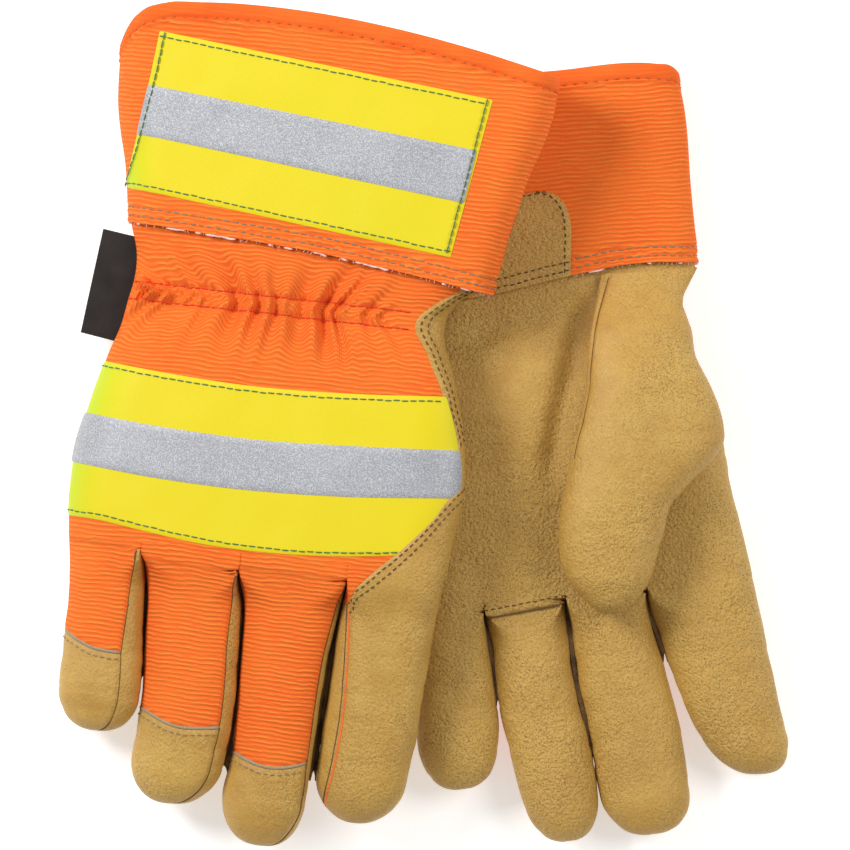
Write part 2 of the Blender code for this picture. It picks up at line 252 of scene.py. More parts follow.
RIGHT = {
    "side": "right",
    "dorsal": 1,
    "knuckle_y": 80.0,
    "hinge_z": 10.8,
    "hinge_x": {"little": -45.4, "index": 50.1},
    "blend_y": (80.0, 96.0),
    "palm_end": 80.0,
    "crotches": {"little": (83.3, 127.0), "ring": (87.1, 126.0), "middle": (86.1, 124.0)},
    "closed_to": {"ring": 153.0, "middle": 151.0},
    "little_edge": [(-30, -50.5), (-22, -48.8), (-13, -45.9), (-3.6, -45.7), (2, -46.7), (13, -48.7),
                    (21, -51.0), (37, -55.1), (56, -58.4), (70, -58.3), (80, -57.5), (90, -56.2)],
    "thumb_edge": [(-30, 72.0), (-15, 68.0), (-9, 61.5), (-4, 57.4), (1, 56.4), (14, 60.2), (29, 65.6),
                   (42, 67.6), (52, 67.8), (70, 66.6), (80, 65.4), (90, 64.6)],
    "fabric_edge": [(-30, 66.0), (-14, 63.0), (-8, 54.0), (-1, 47.0), (11, 52.1), (23, 58.3), (39, 64.1),
                    (52, 65.5), (60, 65.4), (90, 64.0)],
    "back_height": [(-30, 9.6), (-12, 9.2), (0, 8.6), (14, 10.2), (40, 11.0), (90, 10.9)],
    "palm_height": [(-30, 5.4), (0, 6.4), (30, 9.8), (44, 11.0), (110, 10.4)],
    "crown": 1.8,
    "side_radius": (15.0, 17.0),
    "fingers": {
        "little": {
            "left": [(80, -57.5), (90, -56.0), (102, -55.0), (120, -55.4), (133, -55.2), (144, -54.4)],
            "right": [(80, -33.5), (83, -33.2), (87, -31.8), (100, -30.4), (112, -29.5), (130, -28.7),
                      (144, -28.6)],
            "strip": [(80, 0.4), (84, 1.8), (90, 3.6), (103, 5.0), (115, 6.3)],
            "tip": 143.4, "dome": 14.0, "droop": 0.0,
            "cap": [(-57, 110.0), (-54.5, 112.0), (-47.7, 115.4), (-35.6, 116.7), (-28, 116.4)],
        },
        "ring": {
            "left": [(80, -33.5), (83, -33.2), (88, -31.4), (112, -28.9), (131, -27.6), (148, -29.2),
                     (164, -29.4)],
            "right": [(80, -0.8), (87, -0.8), (95, 1.0), (110, 2.0), (135, 2.4), (150, 0.6), (164, -1.4)],
            "strip": [(86, 0.4), (92, 2.0), (100, 3.0), (137, 3.3)],
            "tip": 163.9, "dome": 15.0, "droop": 0.05,
            "cap": [(-30, 132.6), (-25.8, 134.6), (-15.9, 138.2), (-6, 137.8), (3, 136.4)],
        },
        "middle": {
            "left": [(80, -0.8), (87, -0.8), (95, 1.5), (112, 2.6), (136, 3.3), (147, 3.6), (159, 1.9),
                     (174, 2.4)],
            "right": [(80, 34.2), (88, 33.9), (95, 32.9), (105, 31.6), (139, 30.0), (157, 29.6),
                      (174, 28.6)],
            "strip": [(87, 0.4), (92, 0.8), (104, 1.2), (147, 1.3)],
            "tip": 174.2, "dome": 15.0, "droop": 0.10,
            "cap": [(1, 143.2), (5, 145.2), (14.6, 148.0), (24, 146.8), (31, 144.2)],
        },
        "index": {
            "left": [(80, 34.2), (88, 34.1), (95, 33.3), (118, 32.2), (144, 31.0), (152, 31.0),
                     (163, 33.0)],
            "right": [(80, 65.4), (90, 64.6), (114, 62.9), (140, 61.6), (152, 60.2), (163, 58.0)],
            "strip": [(80, 0.4), (90, 0.6)],
            "tip": 163.0, "dome": 14.0, "droop": 0.15,
        },
    },
    "thumb": {
        "left": [(8, 12.0), (30, 8.5), (48, 4.5), (66, 1.0), (82, -0.6), (94, 1.0), (102, 3.0)],
        "right": [(8, 44.0), (30, 44.0), (48, 43.0), (66, 37.0), (82, 31.5), (94, 28.0), (102, 26.0)],
        "start": 0.0, "tip": 102.0, "dome": 13.0,
        "near": [(0, -4.5), (8, -7.0), (16, -9.8), (24, -11.4), (102, -11.8)],
        "far": [(0, -8.6), (8, -14.5), (20, -19.6), (40, -22.6), (60, -24.4), (102, -24.8)],
        "blend_y": (6.0, 24.0),
    },
    "cuff": {
        "left": [(0.0, -57.6), (0.15, -57.4), (0.33, -56.4), (0.7, -51.6), (1.0, -49.2)],
        "right": [(0.0, 82.9), (0.15, 82.6), (0.5, 76.2), (1.0, 69.8)],
        "mouth": [(0.0, -80.0), (0.012, -85.5), (0.035, -90.2), (0.08, -93.6), (0.17, -95.2), (0.4, -95.9),
                  (0.63, -93.1), (0.82, -88.8), (1.0, -83.4)],
        "seam": [(0.0, -22.4), (0.25, -20.9), (0.5, -19.1), (0.75, -15.6), (1.0, -11.4)],
        "heights": (11.6, 5.8), "crown": 1.5,
    },
    "gusset_drop": 1.0,
    "tape_edge": [(0, 47.0), (11, 52.1), (23, 58.3), (39, 64.1), (49, 66.0), (52.1, 66.0), (63.6, 59.4),
                  (73.4, 51.6), (80, 44.5)],
    "knuckle_tape": ([(-60, 23.0), (-52, 23.6), (-33, 25.0), (-4, 26.2), (28, 25.1), (60, 22.6)],
                     [(-60, 74.4), (-48, 74.8), (-34, 76.5), (-14, 78.6), (18, 78.5), (48, 75.2),
                      (66, 72.0)]),
    "knuckle_stripe": ([(-60, 40.6), (-30, 42.6), (1, 43.2), (30, 41.8), (66, 39.3)],
                       [(-60, 57.0), (-30, 59.2), (-7, 59.7), (30, 58.2), (66, 54.6)]),
    "cuff_tape": [(-46.1, -84.6), (63.3, -73.7), (-50.7, -33.3), (55.5, -22.0)],
    "cuff_stripe": [(-47.7, -66.9), (60.0, -57.0), (-49.1, -50.8), (57.7, -39.8)],
    "patch": [(-36, 12.0), (-18, 12.0)],
    "patch_left": -26.0, "patch_top": 0.33,
    "label": [(-57.6, -19.2), (-42.7, -17.3), (-61.1, 15.1), (-45.5, 17.3)],
    "label_z": 0.5,
}

LEFT = {
    "side": "left",
    "dorsal": -1,
    "knuckle_y": 103.6,
    "hinge_z": -9.4,
    "hinge_x": {"little": -37.2, "index": 45.5},
    "blend_y": (93.0, 113.0),
    "palm_end": 93.0,
    "crotches": {"little": (99.5, 131.0), "ring": (97.3, 150.0), "middle": (96.2, 119.0)},
    "closed_to": {},
    "little_edge": [(-30, -46.5), (-10, -46.0), (-3, -43.0), (2, -42.5), (12, -43.0), (21, -43.5),
                    (32, -44.5), (49, -46.5), (80, -47.5), (104, -48.4), (115, -49.0)],
    "thumb_edge": [(-30, 49.4), (-10, 50.0), (-3.2, 47.3), (1.8, 44.4), (12, 46.7), (21, 47.5), (32, 52.3),
                   (43, 54.2), (49, 54.6), (60, 55.8), (81, 59.2), (93, 61.2), (104, 62.7), (115, 64.2)],
    "fabric_edge": [(-30, 46.0), (-3, 44.0), (12, 44.0), (32, 50.0), (60, 53.0), (104, 60.0)],
    "back_height": [(-30, 10.6), (0, 10.2), (20, 10.8), (110, 10.9)],
    "palm_height": [(-30, 5.0), (-10, 5.4), (0, 6.4), (30, 9.4), (50, 10.2), (80, 9.9), (110, 10.4)],
    "crown": 0.0,
    "side_radius": (14.0, 14.0),
    "fingers": {
        "little": {
            "left": [(93, -47.9), (104, -48.6), (125, -50.7), (135, -51.6), (147, -51.0), (156, -50.0)],
            "right": [(93, -26.5), (100, -26.5), (106, -26.0), (124, -25.1), (140, -24.6), (156, -25.6)],
            "strip": [(93, 0.4), (108, 3.2)],
            "tip": 156.0, "dome": 15.0, "droop": 0.0,
            "cap": [(-52, 127.0), (-24, 128.5)],
        },
        "ring": {
            "left": [(93, -26.5), (100, -26.5), (106, -25.2), (121, -24.2), (147, -21.2), (163, -18.0),
                     (175, -15.6)],
            "right": [(93, 0.0), (97.5, 0.0), (105, 0.3), (126, 1.5), (142, 4.4), (162, 6.2), (175, 6.6)],
            "strip": [(93, 0.4), (108, 3.2)],
            "tip": 175.0, "dome": 15.0, "droop": 0.0,
            "cap": [(-26, 147.0), (6, 149.0)],
        },
        "middle": {
            "left": [(93, 0.0), (97.5, 0.0), (105, 0.9), (122, 2.1), (142, 5.0), (162, 7.0), (175, 9.0)],
            "right": [(93, 26.5), (98, 26.5), (108, 28.0), (124, 31.7), (138, 34.3), (160, 36.0),
                      (175, 36.6)],
            "strip": [(93, 0.4), (108, 3.2)],
            "tip": 175.0, "dome": 14.0, "droop": 0.0,
            "cap": [(0, 148.0), (38, 148.0)],
        },
        "index": {
            "left": [(93, 26.5), (98, 26.7), (111, 29.7), (126, 33.6), (138, 37.8), (148, 42.4),
                     (158, 47.0)],
            "right": [(93, 61.2), (104, 62.7), (113, 63.9), (142, 68.1), (149, 69.6), (158, 71.4)],
            "strip": [(93, 0.4), (110, 0.6)],
            "tip": 157.6, "dome": 13.0, "droop": 0.0,
        },
    },
    "thumb": {
        "left": [(-8, 18.6), (4, 15.2), (10, 13.8), (32, 10.1), (46, 6.0), (58, 2.4), (68, 0.2),
                 (77, -1.2), (86, -0.6), (94, 2.4), (102, 5.0)],
        "right": [(-8, 50.0), (2, 44.6), (10, 46.2), (20, 47.6), (32, 52.4), (44, 54.7), (49, 54.0),
                  (54, 50.6), (60, 43.6), (67, 36.8), (77, 32.9), (86, 29.8), (95, 26.8), (102, 24.5)],
        "start": -8.0, "tip": 102.2, "dome": 14.0,
        "near": [(-8, -4.4), (0, -5.0), (14, -7.5), (30, -9.4), (48, -11.6), (102, -11.8)],
        "far": [(-8, -8.6), (-2, -11.5), (8, -17.4), (20, -23.0), (34, -27.4), (48, -29.4), (70, -29.8),
                (86, -29.0), (102, -27.0)],
        "blend_y": (0.0, 24.0),
    },
    "cuff": {
        "left": [(0.0, -54.0), (1.0, -47.6)],
        "right": [(0.0, 47.6), (0.2, 48.6), (0.6, 49.2), (1.0, 50.1)],
        "mouth": [(0.0, -73.0), (0.2, -74.4), (0.6, -74.9), (0.94, -74.9), (0.985, -73.9), (1.0, -72.6)],
        "seam": [(0.0, -3.0), (0.3, -3.8), (0.57, -8.2), (0.8, -10.8), (1.0, -9.8)],
        "heights": (10.8, 5.8), "crown": 0.0,
    },
    "gusset_drop": 0.5,
    "tape_edge": [(12, 44.0), (32, 50.0), (60, 53.0), (104, 60.0)],
    "knuckle_tape": ([(-60, 44.0), (70, 44.0)], [(-60, 92.0), (70, 92.0)]),
    "knuckle_stripe": ([(-60, 61.0), (70, 61.0)], [(-60, 77.5), (70, 77.5)]),
    "cuff_tape": [(-42.0, -64.0), (38.0, -66.0), (-40.0, -20.0), (40.0, -24.0)],
    "cuff_stripe": [(-42.0, -49.0), (38.0, -51.0), (-40.0, -34.0), (40.0, -38.0)],
    "patch": [(-37, 1.0), (-35.8, 4.6), (-33.5, 7.4), (-30, 9.3), (-25, 10.2), (-17, 9.7), (-5, 8.6)],
    "patch_left": -38.0, "patch_top": 0.405,
    "label": [(-63.5, -29.0), (-52.5, -30.0), (-59.8, 4.0), (-48.8, 2.0)],
    "label_z": 0.5,
}


def joined(fork, v):
    """How far a finger runs into its neighbour before the fork between them, so that no slit shows."""
    return 0.6 * (1 - smooth((v - fork + 2.5) / 2.5))


def dome_ends(shape):
    """Where a fingertip starts to round over, and where its skin stops, just short of the very tip."""
    start = shape["tip"] - shape["dome"]
    return start, start + shape["dome"] * math.pi / 2 * 0.985


class Glove:
    """One glove's place in the frame, from its outer two finger hinges, and its skins."""

    def __init__(self, plan):
        self.plan = plan
        self.side = plan["side"]
        hinges = {j["name"]: np.array(j["pos_m"]) for j in frame["joints"] if "pos_m" in j}
        little, index = (hinges[f"{self.side}_{f}_bend"] for f in ("little", "index"))
        reach = plan["hinge_x"]["index"] - plan["hinge_x"]["little"]
        self.across = (index - little) / reach
        self.forward = np.array([self.across[1], -self.across[0], 0.0])
        self.forward *= MM / np.linalg.norm(self.forward)
        self.up = np.array([0.0, 0.0, plan["dorsal"] * MM])
        self.origin = little - self.across * plan["hinge_x"]["little"] - self.forward * plan["knuckle_y"]
        self.origin -= self.up * plan["hinge_z"]
        self.mirrored = np.linalg.det([self.across, self.forward, self.up]) < 0
        self.edges = spline(*plan["little_edge"]), spline(*plan["thumb_edge"])
        self.heights = spline(*plan["back_height"]), spline(*plan["palm_height"])
        self.hand = Skin(np.arange(-30, 105.1, 1.0), self.hand_halves)
        self.cuff = Skin(np.linspace(0, 1, 80), self.cuff_halves)
        self.fingers = {name: self.finger_skin(plan["fingers"][name], name) for name in FINGERS}
        self.thumb = self.thumb_skin(plan["thumb"])

    def place(self, points):
        p = np.asarray(points, float)
        return self.origin + p[..., :1] * self.across + p[..., 1:2] * self.forward + p[..., 2:] * self.up

    def height(self, x, y, part):
        """Full height of the hand over the middle plane, on the back (part 0) or the palm (part 1)."""
        left, right = self.edges[0](y), self.edges[1](y)
        t = (x - (left + right) / 2) / ((right - left) / 2)
        crown = self.plan["crown"] * (1 - t * t) if part == 0 else -1.2 * np.maximum(1 - t * t, 0)
        return self.heights[part](y) + crown

    def hand_halves(self, y):
        x0, x1 = self.edges[0](y), self.edges[1](y)
        x, share = half_section(x0, x1, *self.plan["side_radius"])
        flat = np.full_like(x, y)
        return (np.stack([x, flat, share * self.height(x, y, 0)], 1),
                np.stack([x, flat, -share * self.height(x, y, 1)], 1))

    def cuff_halves(self, v):
        cuff = self.plan["cuff"]
        x0, x1 = spline(*cuff["left"])(v), spline(*cuff["right"])(v)
        x, share = half_section(x0, x1, 11.0, 11.0)
        t = (x - x0) / (x1 - x0)
        mouth, seam = spline(*cuff["mouth"])(t), spline(*cuff["seam"])(t)
        y = mouth * (1 - v) + seam * v
        crown = cuff["crown"] * (1 - (2 * t - 1) ** 2)
        top, bottom = cuff["heights"]
        return (np.stack([x, y, share * (top + crown)], 1), np.stack([x, y, -share * bottom], 1))

    def finger_skin(self, finger, name):
        left, right = spline(*finger["left"]), spline(*finger["right"])
        base = self.plan["palm_end"]
        first = base - 32 if name == "index" else base
        start, end = dome_ends(finger)
        before = FINGERS[FINGERS.index(name) - 1]
        crotches = self.plan["crotches"]
        limits = (base + 2 if name == "little" else crotches[before][0], crotches.get(name, (base + 2,))[0])
        outer = self.plan["side_radius"]
        rounds = (outer[0] if name == "little" else 0.4, outer[1] if name == "index" else 0.4)
        tops = (10.6, 9.4) if self.plan["dorsal"] > 0 else (10.2, 9.6)

        def halves(v):
            turn = max(0.0, (v - start) / finger["dome"])
            y = min(v, start) + finger["dome"] * math.sin(turn)
            x0, x1 = float(left(y)), float(self.edges[1](y) if y < base else right(y))
            if name != "little":
                x0 -= joined(limits[0], v)
            if name != "index":
                x1 += joined(limits[1], v)
            middle, half = (x0 + x1) / 2, (x1 - x0) / 2
            half *= max(math.cos(turn), 0.0) ** (2 / 2.7)
            low = max(math.cos(turn), 0.0) ** (2 / 2.3)
            opened = smooth((v - base - 2) / 15)
            round_side = half * 0.94
            radii = []
            for limit, start_r in zip(limits, rounds):
                share = smooth((v - limit) / 12)
                radii.append(start_r * (1 - share) + round_side * share)
            little_r, thumb_r = radii
            room = 2 * half * 0.985
            if little_r + thumb_r > room:
                both = little_r + thumb_r
                little_r, thumb_r = little_r * room / both, thumb_r * room / both
            x, share = half_section(middle - half, middle + half, max(little_r, 0.02), max(thumb_r, 0.02))
            sag = finger["droop"] * max(0.0, y - self.plan["knuckle_y"])
            taper = 1 - 0.12 * smooth((y - base) / (finger["tip"] - base))
            made = []
            for part, sign in ((0, 1), (1, -1)):
                full = self.height(x, y, part) * (1 - opened) + tops[part] * taper * opened
                made.append(np.stack([x, np.full_like(x, y), sign * share * full * low - sag], 1))
            return made

        skin = Skin(np.linspace(first, end, int((end - first) / 0.9)), halves)
        skin.dome = start
        return skin

    def thumb_skin(self, thumb):
        left, right = spline(*thumb["left"]), spline(*thumb["right"])
        near, far = spline(*thumb["near"]), spline(*thumb["far"])
        start, end = dome_ends(thumb)

        def halves(v):
            turn = max(0.0, (v - start) / thumb["dome"])
            y = min(v, start) + thumb["dome"] * math.sin(turn)
            x0, x1 = float(left(y)), float(right(y))
            middle, half = (x0 + x1) / 2, (x1 - x0) / 2 * max(math.cos(turn), 0.0) ** (2 / 2.5)
            low = max(math.cos(turn), 0.0) ** (2 / 2.3)
            z_near, z_far = float(near(y)), float(far(y))
            centre = z_near + (z_far - z_near) * 0.42
            x, share = half_section(middle - half, middle + half, half * 0.95, half * 0.95)
            flat = np.full_like(x, y)
            return (np.stack([x, flat, centre + share * low * (z_near - centre)], 1),
                    np.stack([x, flat, centre + share * low * (z_far - centre)], 1))

        return Skin(np.linspace(thumb["start"], end, int((end - thumb["start"]) / 0.9)), halves)


# Folds, in millimetres along the normal.

def gathers(p, amount=1.0):
    """The elastic's rows on the back of the wrist: two sewn valleys, even puckers and long fanned folds."""
    x, y, z = p[..., 0], p[..., 1], p[..., 2]
    away = np.abs(y - ELASTIC_MIDDLE)
    band = smooth((z - 2) / 5) * smooth((52 + x) / 6) * smooth((42 + 0.5 * np.maximum(y, 0) - x) / 8)
    rows = sum(bump(y - row, 0.9) for row in ELASTIC_ROWS)
    cuff_side = y < ELASTIC_MIDDLE
    across = (x - 4) / (1 + away / np.where(cuff_side, 26, 46)) + 0.8 * noise(p, 9, 4)
    fan = np.stack([across, y, np.zeros_like(x)], -1)
    puckers = np.cos(across * (2 * math.pi / PUCKER_PITCH) + 1.5 * noise(fan, 8, 5)) * bump(away, 3.4)
    strength = 1.0 + 1.2 * noise(fan, (11, 60, 9), 6)
    pleats = strength * np.cos(across * (2 * math.pi / PLEAT_PITCH) + 4.0 * noise(fan, (12, 34, 9), 8))
    pleats = pleats * (1 - smooth((away - 5) / np.where(cuff_side, 14, 18)))
    broad = noise(fan, (7.0, 70, 9), 7) * (1 - smooth(away / 26))
    return amount * band * (0.8 * puckers + 0.95 * pleats + 2.4 * broad - 0.9 * rows)


def soft_folds(p):
    """Soft unevenness that every layer shares, so that neighbours keep together."""
    return 0.45 * noise(p, 27, 1) + 0.2 * noise(p, 10, 2)


def folds(p):
    """Folds of the glove on top."""
    return soft_folds(p) + gathers(p)


def calm_folds(p):
    """Folds of the glove that lies on its back, where the table presses them flat."""
    return 0.6 * soft_folds(p) + gathers(p, 0.3)


def leather_folds(p):
    """Soft unevenness of leather, with fine wrinkles that mostly run across the hand."""
    soft = 0.55 * noise(p, 25, 1) + 0.24 * noise(p, 9, 2)
    wrinkle = 1 - np.abs(noise(p, (20, 7, 12), 9)) * 2.2
    return soft - 0.22 * smooth(wrinkle)


class Patch:
    """Points on a glove in rows and columns, lifted along their normals. relief gives the folds by place,
    dips are the edges that sink, and extra gives what else is added."""

    def __init__(self, base, raised=0.0, relief=folds, dips=(), dip=0.45, dip_width=1.5, extra=None):
        self.base = base
        normal = unit(np.cross(np.gradient(base, axis=1), np.gradient(base, axis=0)))
        lift = np.full(base.shape[:2], float(raised))
        if relief:
            lift = lift + relief(base)
        for edge in dips:
            lift = lift - dip * (1 - smooth(self.inside(edge) / dip_width))
        if extra:
            lift = lift + extra(self)
        self.lift = lift - raised
        self.points = base + normal * lift[..., None]
        self.normal = unit(np.cross(np.gradient(self.points, axis=1), np.gradient(self.points, axis=0)))

    def inside(self, edge):
        """Distance in from one of the four edges: wrist, tip, little or thumb."""
        axis = 0 if edge in ("wrist", "tip") else 1
        steps = np.linalg.norm(np.diff(self.base, axis=axis), axis=2)
        run = np.cumsum(steps, axis=axis)
        run = np.concatenate([np.zeros_like(np.take(run, [0], axis)), run], axis)
        return run if edge in ("wrist", "little") else np.take(run, [-1], axis) - run

    def line(self, edge, inset=0.0, start=0.0, stop=1.0):
        """A line of points and normals that follows an edge, inset millimetres in from it."""
        away = self.inside(edge)
        points, normals = self.points, self.normal
        if edge in ("little", "thumb"):
            away, points, normals = away.T, points.transpose(1, 0, 2), normals.transpose(1, 0, 2)
        if edge in ("tip", "thumb"):
            away, points, normals = away[::-1], points[::-1], normals[::-1]
        count = away.shape[1]
        made = []
        for k in range(int(start * (count - 1)), int(stop * (count - 1)) + 1):
            both = [points[:, k], normals[:, k]]
            made.append([np.interp(inset, away[:, k], a[:, c]) for a in both for c in range(3)])
        made = np.array(made)
        return made[:, :3], unit(made[:, 3:])

    def area(self):
        a = self.points[1:, 1:] - self.points[:-1, :-1]
        b = self.points[1:, :-1] - self.points[:-1, 1:]
        return float(np.linalg.norm(np.cross(a, b), axis=2).sum() / 2) * MM * MM


def lay(skin, starts, ends, little, thumb, cell=CELL, rows=None):
    """Points of a skin between two lines across it, v by x, and two lines along it, u by v. Each line is a
    function, or a number where it is straight."""
    starts, ends, little, thumb = level(starts), level(ends), level(little), level(thumb)
    v0, v1 = float(np.mean(starts(0.0))), float(np.mean(ends(0.0)))
    ends_v = np.clip([v0, v1], skin.vs[0], skin.vs[-1])
    middle = float(ends_v.mean())
    edge = skin.at(np.linspace(little(middle), thumb(middle), 30), middle)
    width = np.linalg.norm(np.diff(edge, axis=0), axis=1).sum()
    side = skin.at((little(middle) + thumb(middle)) / 2, np.linspace(ends_v[0], ends_v[1], 30))
    length = np.linalg.norm(np.diff(side, axis=0), axis=1).sum()
    rows = rows or max(4, int(length / cell))
    columns = max(4, int(width / cell))
    down, over = np.linspace(0, 1, rows)[:, None], np.linspace(0, 1, columns)[None, :]
    v = v0 + (v1 - v0) * down + 0 * over
    for _ in range(5):
        u = little(v) + (thumb(v) - little(v)) * over
        x = skin.at(u, v)[..., 0]
        v = starts(x) + (ends(x) - starts(x)) * down
    return skin.at(little(v) + (thumb(v) - little(v)) * over, v)


def between(corners, rows, columns):
    """Points of the plan spread between four corners, wrist little, wrist thumb, tip little and tip thumb,
    with their shares s towards the tip and t towards the thumb."""
    a, b, c, d = (np.array(p, float) for p in corners)
    s, t = np.linspace(0, 1, rows)[:, None, None], np.linspace(0, 1, columns)[None, :, None]
    return (a * (1 - t) + b * t) * (1 - s) + (c * (1 - t) + d * t) * s, s, t


def quad(skin, corners):
    """A four-cornered patch of the plan laid on the back of a skin."""
    a, b, c = (np.array(p, float) for p in corners[:3])
    flat = between(corners, int(np.linalg.norm(c - a) / CELL), int(np.linalg.norm(b - a) / CELL))[0]
    return skin.at(*skin.find(flat[..., 0], flat[..., 1]))


# Meshes.

def new_mesh(name, verts, faces, uvs=None, sharp_degrees=50):
    """A smooth mesh of quads from arrays. uvs is one pair for each vertex."""
    mesh = bpy.data.meshes.new(name)
    faces = np.asarray(faces, np.int32)
    mesh.vertices.add(len(verts))
    mesh.vertices.foreach_set("co", np.asarray(verts, np.float32).ravel())
    mesh.loops.add(faces.size)
    mesh.loops.foreach_set("vertex_index", faces.ravel())
    mesh.polygons.add(len(faces))
    mesh.polygons.foreach_set("loop_start", np.arange(0, faces.size, 4, dtype=np.int32))
    mesh.polygons.foreach_set("use_smooth", np.ones(len(faces), bool))
    mesh.update(calc_edges=True)
    if uvs is not None:
        layer = mesh.uv_layers.new(name="cloth")
        layer.data.foreach_set("uv", np.asarray(uvs, np.float32)[faces.ravel()].ravel())
    mesh.validate()
    if sharp_degrees:
        mesh.set_sharp_from_angle(angle=math.radians(sharp_degrees))
    obj = bpy.data.objects.new(name, mesh)
    bpy.context.scene.collection.objects.link(obj)
    return obj


def shell(name, glove, patch, wall, material):
    """A closed panel: the patch, its inner face and its rim."""
    outer, inner = patch.points, patch.points - patch.normal * wall
    rows, columns = outer.shape[:2]
    count = rows * columns
    at = np.arange(count).reshape(rows, columns)
    top = np.stack([at[:-1, :-1], at[:-1, 1:], at[1:, 1:], at[1:, :-1]], -1).reshape(-1, 4)
    ring = np.concatenate([at[0, :], at[1:, -1], at[-1, -2::-1], at[-2:0:-1, 0]])
    after = np.roll(ring, -1)
    rim = np.stack([ring, ring + count, after + count, after], -1)
    faces = np.concatenate([top, top[:, ::-1] + count, rim])
    if glove.mirrored:
        faces = faces[:, ::-1]
    run = np.cumsum(np.linalg.norm(np.diff(patch.base, axis=1), axis=2), axis=1)
    run = np.concatenate([np.zeros((rows, 1)), run], 1)
    run -= run[:, columns // 2][:, None]
    uv = np.stack([run, patch.base[..., 1] + 1.2 * patch.lift], -1).reshape(-1, 2) * 0.01
    world = glove.place(np.concatenate([outer.reshape(-1, 3), inner.reshape(-1, 3)]))
    obj = new_mesh(name, world, faces, np.concatenate([uv, uv]))
    obj.data.materials.append(material)
    return obj


def tube(points, normals, radii, sides=6):
    """Points and quads of a closed round tube along a line, with its radius at each point."""
    points = np.asarray(points, float)
    along = unit(np.gradient(points, axis=0))
    across = unit(np.cross(along, normals))
    up = np.cross(across, along)
    angles = np.linspace(0, 2 * math.pi, sides, endpoint=False)
    rings = points[:, None] + np.asarray(radii)[:, None, None] * (
        np.cos(angles)[None, :, None] * across[:, None] + np.sin(angles)[None, :, None] * up[:, None])
    count = len(points)
    at = np.arange(count * sides).reshape(count, sides)
    nxt = np.roll(at, -1, axis=1)
    walls = np.stack([at[:-1], nxt[:-1], nxt[1:], at[1:]], -1).reshape(-1, 4)
    caps = []
    for row, flip in ((at[0], True), (at[-1], False)):
        for k in range(1, sides - 1, 2):
            face = [row[0], row[k], row[k + 1], row[(k + 2) % sides]]
            caps.append(face[::-1] if flip else face)
    return rings.reshape(-1, 3), np.concatenate([walls, np.array(caps)])


def join_tubes(name, glove, tubes, material):
    """One object of many tubes."""
    verts, faces, total = [], [], 0
    for points, quads in tubes:
        verts.append(points)
        faces.append(quads + total)
        total += len(points)
    faces = np.concatenate(faces)
    if glove.mirrored:
        faces = faces[:, ::-1]
    obj = new_mesh(name, glove.place(np.concatenate(verts)), faces, None, None)
    obj.data.materials.append(material)
    return obj


def stitches(name, glove, lines, kind, material):
    """Sewing along lines of points and normals: each stitch is a short thread that dips at both ends."""
    pitch, length, radius = kind
    tubes = []
    for points, normals in lines:
        run = np.concatenate([[0], np.cumsum(np.linalg.norm(np.diff(points, axis=0), axis=1))])
        for n in range(int(run[-1] / pitch)):
            wobble = 0.12 * lattice(np.int64(n), np.int64(len(tubes)), np.int64(3), 11)
            at = n * pitch + (pitch - length) / 2 + length * np.array([0, 0.2, 0.5, 0.8, 1.0])
            centre = np.stack([np.interp(at, run, points[:, k]) for k in range(3)], 1)
            up = unit(np.stack([np.interp(at, run, normals[:, k]) for k in range(3)], 1))
            side = np.cross(unit(np.gradient(centre, axis=0)), up)
            centre = centre + up * (radius * np.array([-0.9, 0.5, 0.8, 0.5, -0.9]))[:, None] + side * wobble
            tubes.append(tube(centre, up, radius * np.array([0.55, 0.95, 1.0, 0.95, 0.55])))
    return join_tubes(name, glove, tubes, material)


def cords(name, glove, lines, radius, material, sink=0.3):
    """Continuous rounded lines, such as a bound or turned seam."""
    tubes = []
    for points, normals in lines:
        line = even(points, max(4, int(len(points) * 0.9)))
        spread = np.linspace(0, len(points) - 1, len(line))
        up = unit(np.stack([np.interp(spread, np.arange(len(points)), normals[:, k]) for k in range(3)], 1))
        radii = radius * (1 + 0.12 * noise(line, 1.7, 12))
        radii[0] = radii[-1] = radius * 0.4
        tubes.append(tube(line - up * radius * sink, up, radii))
    return join_tubes(name, glove, tubes, material)


# Materials. Coordinates called cloth are in units of 100 mm, and object coordinates are in metres.

def colour(red, green, blue):
    """A colour given as it looks on a screen, from 0 to 255, as Blender's linear colour."""
    parts = [c / 255 for c in (red, green, blue)]
    return (*[c / 12.92 if c <= 0.04045 else ((c + 0.055) / 1.055) ** 2.4 for c in parts], 1.0)


